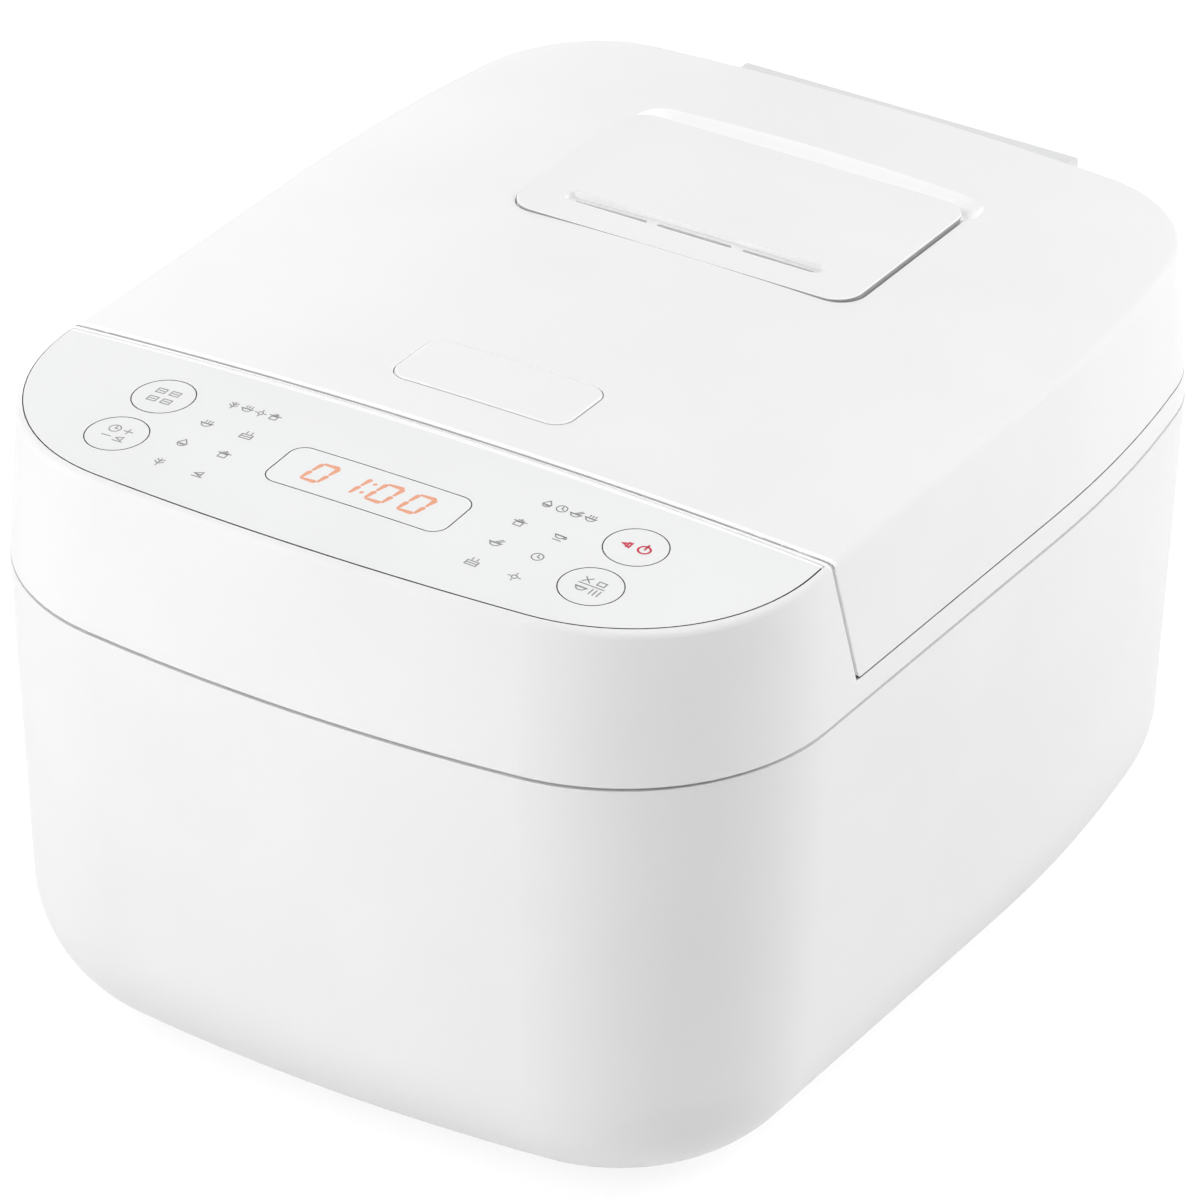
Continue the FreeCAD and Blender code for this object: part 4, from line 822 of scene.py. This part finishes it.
class COOKER_OT_display_digits(Operator):
    """Makes the lit digits of the display"""

    bl_idname = "cooker.display_digits"
    bl_label = "Display digits"

    def add_digit(self, mesh, marks, digit, centre_x):
        half_width = (marks.digit_width - marks.segment_width) / 2
        half_height = (marks.digit_height - marks.segment_width) / 2
        room = SEGMENT_ROOM * marks.segment_width
        for letter in LIT_SEGMENTS[digit]:
            right, up = SEGMENT_PLACES[letter]
            upright = letter in UPRIGHT_SEGMENTS
            length = (half_height if upright else 2 * half_width) - room
            centre = (centre_x + right * half_width, up * half_height)
            add_segment(mesh, centre, length, marks.segment_width, upright)

    def execute(self, context):
        marks = context.scene.cooker_marks
        mesh = bmesh.new()
        hours, minutes = marks.shown_time.split(":")
        for index, digit in enumerate(hours + minutes):
            self.add_digit(mesh, marks, digit, (index - 1.5) * marks.digit_pitch)
        for side in (-1, 1):
            add_dot(mesh, (0, side * marks.digit_height / 4), COLON_DOT * marks.segment_width, 4)
        slant = Matrix.Identity(4)
        slant[0][1] = math.tan(marks.digit_slant)
        bmesh.ops.transform(mesh, matrix=slant, verts=mesh.verts)
        bmesh.ops.translate(mesh, vec=(DISPLAY_CENTRE.x, DISPLAY_CENTRE.y, 0), verts=mesh.verts)
        thicken(mesh, marks.ink_height)
        lay_on(mesh, "display_lens")
        glow = glow_finish(context.scene.cooker_finish)
        new_piece("display_digits", mesh, glow, "base")
        return {"FINISHED"}


# A mark's bars run from one point to another, and its outlines have a centre and a radius,
# in half heights of the mark.
MENU_MARKS = {
    "bowl": {
        "half": [(0, 0.15, 0.9)],
        "bar": [(-1, 0.15, 1, 0.15), (-0.4, 0.5, -0.4, 0.9), (0.1, 0.5, 0.1, 0.9),
                (0.6, 0.5, 0.6, 0.9)],
    },
    "grain": {
        "bar": [(0, -0.9, 0, 0.9), (0, -0.4, -0.7, 0.1), (0, -0.4, 0.7, 0.1), (0, 0.2, -0.6, 0.7),
                (0, 0.2, 0.6, 0.7)],
    },
    "pot": {
        "box": [(0, -0.3, 0.95)],
        "bar": [(-1, 0.35, 1, 0.35), (-0.4, 0.65, 0.4, 0.65), (0, 0.65, 0, 0.95)],
    },
    "cup": {
        "half": [(-0.15, 0.35, 0.85)],
        "bar": [(-1, 0.35, 0.7, 0.35), (-0.7, -0.9, 0.5, -0.9)],
        "ring": [(0.7, 0, 0.3)],
    },
    "clock": {
        "ring": [(0, 0, 0.95)],
        "bar": [(0, 0, 0, 0.55), (0, 0, 0.4, -0.2)],
    },
    "steamer": {
        "bar": [(-0.9, -0.8, 0.9, -0.8), (-0.9, -0.3, 0.9, -0.3), (-0.9, -0.8, -0.9, 0.2),
                (0.9, -0.8, 0.9, 0.2), (-0.9, 0.2, 0.9, 0.2), (-0.4, 0.5, -0.4, 0.95),
                (0.4, 0.5, 0.4, 0.95)],
    },
    "cake": {
        "tri": [(0, -0.1, 1.0)],
        "bar": [(-0.8, -0.85, 0.8, -0.85), (-0.45, -0.25, 0.45, -0.25)],
    },
    "drop": {
        "half": [(0, -0.1, 0.8)],
        "bar": [(-0.72, -0.05, 0, 0.95), (0.72, -0.05, 0, 0.95), (-0.2, -0.4, 0.3, -0.4)],
    },
    "sun": {
        "ring": [(0, 0, 0.5)],
        "bar": [(0, 0.7, 0, 0.95), (0, -0.95, 0, -0.7), (-0.95, 0, -0.7, 0), (0.7, 0, 0.95, 0)],
    },
    "noodles": {
        "half": [(0, -0.05, 0.9)],
        "bar": [(-1, -0.05, 1, -0.05), (-0.2, -0.05, 0.6, 0.9), (0.2, -0.05, 0.95, 0.75)],
    },
}
OUTLINES = {
    "ring": {},
    "half": {"half": True},
    "box": {"sides": 4, "turn": math.pi / 4, "squash": 0.8},
    "tri": {"sides": 3, "turn": math.pi / 2, "squash": 0.8},
}
LEFT_MENU = (("bowl", "steamer"), ("drop", "pot"), ("grain", "cake"))
RIGHT_MENU = (("pot", "cup"), ("noodles", "clock"), ("steamer", "sun"))
LEFT_TITLE = ("grain", "bowl", "sun", "pot")
RIGHT_TITLE = ("drop", "clock", "noodles", "bowl")
LEFT_COLUMNS = (-59.1 * MM, -45.3 * MM)
RIGHT_COLUMNS = (45.1 * MM, 58.6 * MM)
MENU_ROWS = (-120.9 * MM, -132.6 * MM, -144.3 * MM)
TITLE_PLACES = {"left": (-51.2 * MM, -108.9 * MM), "right": (53.6 * MM, -108.7 * MM)}
TITLE_SHARE = 0.92


def draw(mesh, mark, centre, size, line):
    """Draws a mark of a height round a centre, in lines of a width."""
    half = size / 2

    def at(x, y):
        return (centre[0] + x * half, centre[1] + y * half)

    for kind, shapes in mark.items():
        for x, y, *reach in shapes:
            if kind == "bar":
                add_bar(mesh, at(x, y), at(*reach), line)
            else:
                add_outline(mesh, at(x, y), reach[0] * half, line, **OUTLINES[kind])


class COOKER_OT_menu_marks(Operator):
    """Prints the small menu marks and their titles on the panel"""

    bl_idname = "cooker.menu_marks"
    bl_label = "Menu marks"

    def add_group(self, context, ink, side, menu, columns, title):
        marks = context.scene.cooker_marks
        mesh = bmesh.new()
        for row, names in zip(MENU_ROWS, menu):
            for column, name in zip(columns, names):
                draw(mesh, MENU_MARKS[name], (column, row), marks.mark_size, marks.mark_line)
        title_x, title_y = TITLE_PLACES[side]
        for index, name in enumerate(title):
            place = (title_x + (index - 1.5) * marks.title_pitch, title_y)
            draw(mesh, MENU_MARKS[name], place, TITLE_SHARE * marks.mark_size, marks.mark_line)
        thicken(mesh, marks.ink_height)
        lay_on(mesh, "control_panel")
        new_piece("menu_marks_" + side, mesh, ink, "base")

    def execute(self, context):
        ink = ink_finish("menu_ink", context.scene.cooker_finish.ink_grey)
        self.add_group(context, ink, "left", LEFT_MENU, LEFT_COLUMNS, LEFT_TITLE)
        self.add_group(context, ink, "right", RIGHT_MENU, RIGHT_COLUMNS, RIGHT_TITLE)
        return {"FINISHED"}


KEY_MARKS = {
    "key_menu": {
        "box": [(-0.55, 0.55, 0.55), (0.55, 0.55, 0.55), (-0.55, -0.55, 0.55), (0.55, -0.55, 0.55)],
        "bar": [(-0.75, 0.55, -0.35, 0.55), (0.35, 0.55, 0.75, 0.55), (-0.75, -0.55, -0.35, -0.55),
                (0.35, -0.55, 0.75, -0.55)],
    },
    "key_timer": {
        "ring": [(-0.5, 0.5, 0.46)],
        "bar": [(-0.5, 0.5, -0.5, 0.78), (-0.5, 0.5, -0.3, 0.5), (0.25, 0.5, 0.9, 0.5),
                (0.57, 0.2, 0.57, 0.8), (-0.9, -0.5, -0.2, -0.5), (0.2, -0.85, 0.95, -0.85)],
        "tri": [(0.57, -0.5, 0.42)],
    },
    "key_start": {
        "tri": [(-0.62, -0.05, 0.55)],
        "bar": [(-0.62, -0.3, -0.62, 0.2), (0.62, 0.05, 0.62, 0.6)],
        "ring": [(0.62, -0.02, 0.5)],
    },
    "key_cancel": {
        "bar": [(-0.85, 0.8, -0.3, 0.25), (-0.85, 0.25, -0.3, 0.8), (-0.95, 0.02, 0.95, 0.02),
                (-0.95, -0.4, -0.05, -0.4), (0.3, -0.85, 0.3, -0.25), (0.6, -0.85, 0.6, -0.25),
                (0.9, -0.85, 0.9, -0.25)],
        "box": [(0.5, 0.52, 0.45)],
        "half": [(-0.5, -0.4, 0.42)],
    },
}
START_KEY = "key_start"
START_LINE_SHARE = 1.7


class COOKER_OT_key_marks(Operator):
    """Prints a plain sign on each key; the start key's is red"""

    bl_idname = "cooker.key_marks"
    bl_label = "Key marks"

    def execute(self, context):
        marks = context.scene.cooker_marks
        finish = context.scene.cooker_finish
        grey = ink_finish("key_ink", finish.ink_grey)
        red = ink_finish("start_ink", finish.ink_red)
        for key, mark in KEY_MARKS.items():
            low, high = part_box(key)
            starts = key == START_KEY
            mesh = bmesh.new()
            line = (START_LINE_SHARE if starts else 1.0) * marks.mark_line
            centre = (low + high) / 2
            draw(mesh, mark, (centre.x, centre.y), marks.key_mark_size, line)
            thicken(mesh, marks.ink_height)
            lay_on(mesh, key)
            new_piece("sign_" + key, mesh, red if starts else grey, key)
        return {"FINISHED"}


POT_LEVELS = ("2", "4", "6", "8")
POT_FIRST_LEVEL = 84 * MM
POT_SCALE_ANGLE = math.radians(112)
POT_LINE_LENGTH = 11 * MM
POT_LINE_WIDTH = 0.8 * MM
POT_INK = (0.55, 0.55, 0.53)
DIGIT_SHARE = 0.7  # of a letter's size


def add_number(mesh, text, place, height):
    """A plain printed number, centred on a place."""
    curve = bpy.data.curves.new("number", "FONT")
    curve.body = text
    curve.size = height / DIGIT_SHARE
    curve.align_x = "CENTER"
    curve.align_y = "CENTER"
    holder = bpy.data.objects.new("number", curve)
    flat = bpy.data.meshes.new_from_object(holder)
    flat.transform(Matrix.Translation((*place, 0)))
    mesh.from_mesh(flat)
    bpy.data.objects.remove(holder)
    bpy.data.curves.remove(curve)
    bpy.data.meshes.remove(flat)


def wrap_in_pot(mesh, angle):
    """Bends a flat shape on to the pot's inner wall; its width runs round the wall."""
    radius = (POT_HIGH.x - POT_LOW.x) / 2
    for vert in mesh.verts:
        turn = angle - vert.co.x / radius
        outwards = Vector((math.cos(turn), math.sin(turn), 0))
        axis = Vector((POT_CENTRE.x, POT_CENTRE.y, vert.co.y))
        hit, place, _, _ = NODES["inner_pot"].ray_cast(axis, outwards)
        if not hit:
            raise RuntimeError("the pot's scale misses the wall")
        vert.co = place - outwards * vert.co.z


class COOKER_OT_pot_scale(Operator):
    """Prints the water levels inside the pot"""

    bl_idname = "cooker.pot_scale"
    bl_label = "Pot scale"

    def execute(self, context):
        marks = context.scene.cooker_marks
        mesh = bmesh.new()
        for index, number in enumerate(POT_LEVELS):
            height = POT_FIRST_LEVEL + index * marks.pot_level_pitch
            add_bar(mesh, (-POT_LINE_LENGTH, height), (0, height), POT_LINE_WIDTH)
            middle = height - marks.pot_level_pitch / 2
            short = -POT_LINE_LENGTH / 2
            add_bar(mesh, (-POT_LINE_LENGTH, middle), (short, middle), POT_LINE_WIDTH)
            add_number(mesh, number, (POT_LINE_LENGTH / 2, height), marks.pot_digit_height)
        bmesh.ops.triangulate(mesh, faces=mesh.faces)
        thicken(mesh, 2 * marks.ink_height)
        wrap_in_pot(mesh, POT_SCALE_ANGLE)
        ink = ink_finish("pot_ink", POT_INK)
        new_piece("pot_scale", mesh, ink, "inner_pot")
        return {"FINISHED"}


MERGE_ROOM = 0.001 * MM


class COOKER_OT_springs(Operator):
    """Puts smooth copies of the sensor, button and latch springs in place of their CAD pieces"""

    bl_idname = "cooker.springs"
    bl_label = "Pressed springs"

    def add_spring(self, node, name, joint, axis, fixed_end):
        mesh = bmesh.new()
        mesh.from_mesh(NODES[node].data)
        bmesh.ops.remove_doubles(mesh, verts=mesh.verts, dist=MERGE_ROOM)
        for face in mesh.faces:
            face.smooth = True
        steel = NODES[node].active_material
        spring = new_piece(name, mesh, steel, NODES[node]["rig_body"])
        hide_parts(node)
        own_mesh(spring)

    def execute(self, context):
        self.add_spring("sensor_spring", "sensor_coil", "sensor_press", UP, 0)
        self.add_spring("button_springs", "button_coils", "button_press", UP, 0)
        self.add_spring("latch_spring", "latch_coil", "latch_slide", -FRONT, 1)
        return {"FINISHED"}


def white_to_camera(tree, lit, seen):
    """Shows one shader to the camera and in reflections, and lights the scene with another."""
    path = tree.nodes.new("ShaderNodeLightPath")
    either = path.outputs["Is Camera Ray"]
    for name in ("Is Glossy Ray", "Is Transmission Ray"):
        larger = tree.nodes.new("ShaderNodeMath")
        larger.operation = "MAXIMUM"
        tree.links.new(either, larger.inputs[0])
        tree.links.new(path.outputs[name], larger.inputs[1])
        either = larger.outputs[0]
    mix = tree.nodes.new("ShaderNodeMixShader")
    tree.links.new(either, mix.inputs[0])
    tree.links.new(lit, mix.inputs[1])
    tree.links.new(seen, mix.inputs[2])
    return mix.outputs[0]


WHITE = (1, 1, 1, 1)
FLOOR_RADIUS = 6.0
# As seen, the floor takes the shadow near the cooker and pales to white further off.
FLOOR_SHADE = (0.18, 0.18, 0.18, 1)
FLOOR_NEAR, FLOOR_FAR, NEAR_GLOW = 0.4, 1.5, 0.87
VIEW_END = 20
# Degrees round the cooker, from its front to its right, and above the floor.
LIGHT_PLACES = {
    "right_power": (120, 38),
    "left_power": (-90, 38),
    "front_power": (-20, 42),
    "low_power": (-20, 8),
    "rear_power": (-130, 8),
}
# The stronger lights are kept out of reflections, where their glare would bleach the lid.
SHEEN_LIGHTS = ("left_power", "rear_power")
MIDDLE = Vector((0, 0, 0.1))


def direction(around, above):
    """Unit vector towards a place round the cooker and above the floor."""
    flat = math.cos(above)
    return Vector((math.sin(around) * flat, -math.cos(around) * flat, math.sin(above)))


class COOKER_OT_stage(Operator):
    """Sets the floor, the white surroundings, the lights and the camera"""

    bl_idname = "cooker.stage"
    bl_label = "Stage"

    def floor_finish(self, stage):
        material = bpy.data.materials.new("floor_white")
        material.use_nodes = True
        tree = material.node_tree
        tree.nodes.remove(shader_of(material))
        lit = add_node(material, "ShaderNodeBsdfDiffuse")
        lit.inputs["Color"].default_value = (*stage.floor_white, 1)
        shade = add_node(material, "ShaderNodeBsdfDiffuse")
        shade.inputs["Color"].default_value = FLOOR_SHADE
        glow = add_node(material, "ShaderNodeEmission")
        paler = spread(material, distance_from(material), NEAR_GLOW, 1, FLOOR_NEAR, FLOOR_FAR)
        join(material, paler, glow.inputs["Strength"])
        seen = add_node(material, "ShaderNodeAddShader")
        join(material, shade.outputs[0], seen.inputs[0])
        join(material, glow.outputs[0], seen.inputs[1])
        surface = white_to_camera(tree, lit.outputs[0], seen.outputs[0])
        join(material, surface, tree.nodes["Material Output"].inputs["Surface"])
        return material

    def add_floor(self, stage):
        mesh = bmesh.new()
        bmesh.ops.create_circle(mesh, cap_ends=True, segments=64, radius=FLOOR_RADIUS)
        data = bpy.data.meshes.new("floor")
        mesh.to_mesh(data)
        mesh.free()
        data.materials.append(self.floor_finish(stage))
        floor = bpy.data.objects.new("floor", data)
        show(floor)

    def set_world(self, stage):
        world = bpy.context.scene.world or bpy.data.worlds.new("studio")
        bpy.context.scene.world = world
        world.use_nodes = True
        tree = world.node_tree
        lit = tree.nodes["Background"]
        lit.inputs["Color"].default_value = WHITE
        lit.inputs["Strength"].default_value = stage.fill
        seen = tree.nodes.new("ShaderNodeBackground")
        seen.inputs["Color"].default_value = WHITE
        seen.inputs["Strength"].default_value = 1.0
        mixed = white_to_camera(tree, lit.outputs[0], seen.outputs[0])
        tree.links.new(mixed, tree.nodes["World Output"].inputs["Surface"])

    def add_light(self, stage, name, around, above):
        data = bpy.data.lights.new(name, "AREA")
        data.shape = "DISK"
        data.size = stage.light_size
        data.energy = getattr(stage, name)
        light = bpy.data.objects.new(name, data)
        back = direction(math.radians(around), math.radians(above))
        light.location = MIDDLE + back * stage.light_distance
        light.rotation_euler = back.to_track_quat("Z", "Y").to_euler()
        light.visible_glossy = name in SHEEN_LIGHTS
        show(light)

    def add_camera(self, stage):
        data = bpy.data.cameras.new("camera")
        data.lens = stage.view_lens
        data.clip_end = VIEW_END
        camera = bpy.data.objects.new("camera", data)
        show(camera)
        back = direction(stage.view_azimuth, stage.view_elevation)
        turn = back.to_track_quat("Z", "Y").to_matrix().to_4x4()
        roll = Matrix.Rotation(stage.view_roll, 4, "Z")
        place = Vector(stage.aim) + back * stage.view_distance
        camera.matrix_world = Matrix.Translation(place) @ turn @ roll
        bpy.context.scene.camera = camera

    def execute(self, context):
        stage = context.scene.cooker_stage
        context.scene.view_settings.view_transform = "Standard"
        self.add_floor(stage)
        self.set_world(stage)
        for name, (around, above) in LIGHT_PLACES.items():
            self.add_light(stage, name, around, above)
        self.add_camera(stage)
        return {"FINISHED"}


STEPS = (
    COOKER_OT_white_plastics,
    COOKER_OT_inner_plastics,
    COOKER_OT_metals,
    COOKER_OT_pot_coat,
    COOKER_OT_display_digits,
    COOKER_OT_menu_marks,
    COOKER_OT_key_marks,
    COOKER_OT_pot_scale,
    COOKER_OT_springs,
    COOKER_OT_stage,
)


class COOKER_PT_sidebar(Panel):
    """Lists the steps that finish the cooker"""

    bl_idname = "COOKER_PT_sidebar"
    bl_label = "Rice cooker"
    bl_space_type = "VIEW_3D"
    bl_region_type = "UI"
    bl_category = "Cooker"

    def draw(self, context):
        for step in STEPS:
            self.layout.operator(step.bl_idname)
        scene = context.scene
        for group in (scene.cooker_finish, scene.cooker_marks, scene.cooker_stage):
            box = self.layout.box()
            for name in group.__annotations__:
                box.prop(group, name)


CLASSES = (CookerFinish, CookerMarks, CookerStage, *STEPS, COOKER_PT_sidebar)


def register():
    for item in CLASSES:
        bpy.utils.register_class(item)
    bpy.types.Scene.cooker_finish = PointerProperty(type=CookerFinish)
    bpy.types.Scene.cooker_marks = PointerProperty(type=CookerMarks)
    bpy.types.Scene.cooker_stage = PointerProperty(type=CookerStage)


def unregister():
    del bpy.types.Scene.cooker_stage
    del bpy.types.Scene.cooker_marks
    del bpy.types.Scene.cooker_finish
    for item in reversed(CLASSES):
        bpy.utils.unregister_class(item)


def main():
    register()
    for step in STEPS:
        group, name = step.bl_idname.split(".")
        getattr(getattr(bpy.ops, group), name)()


if __name__ == "__main__":
    main()
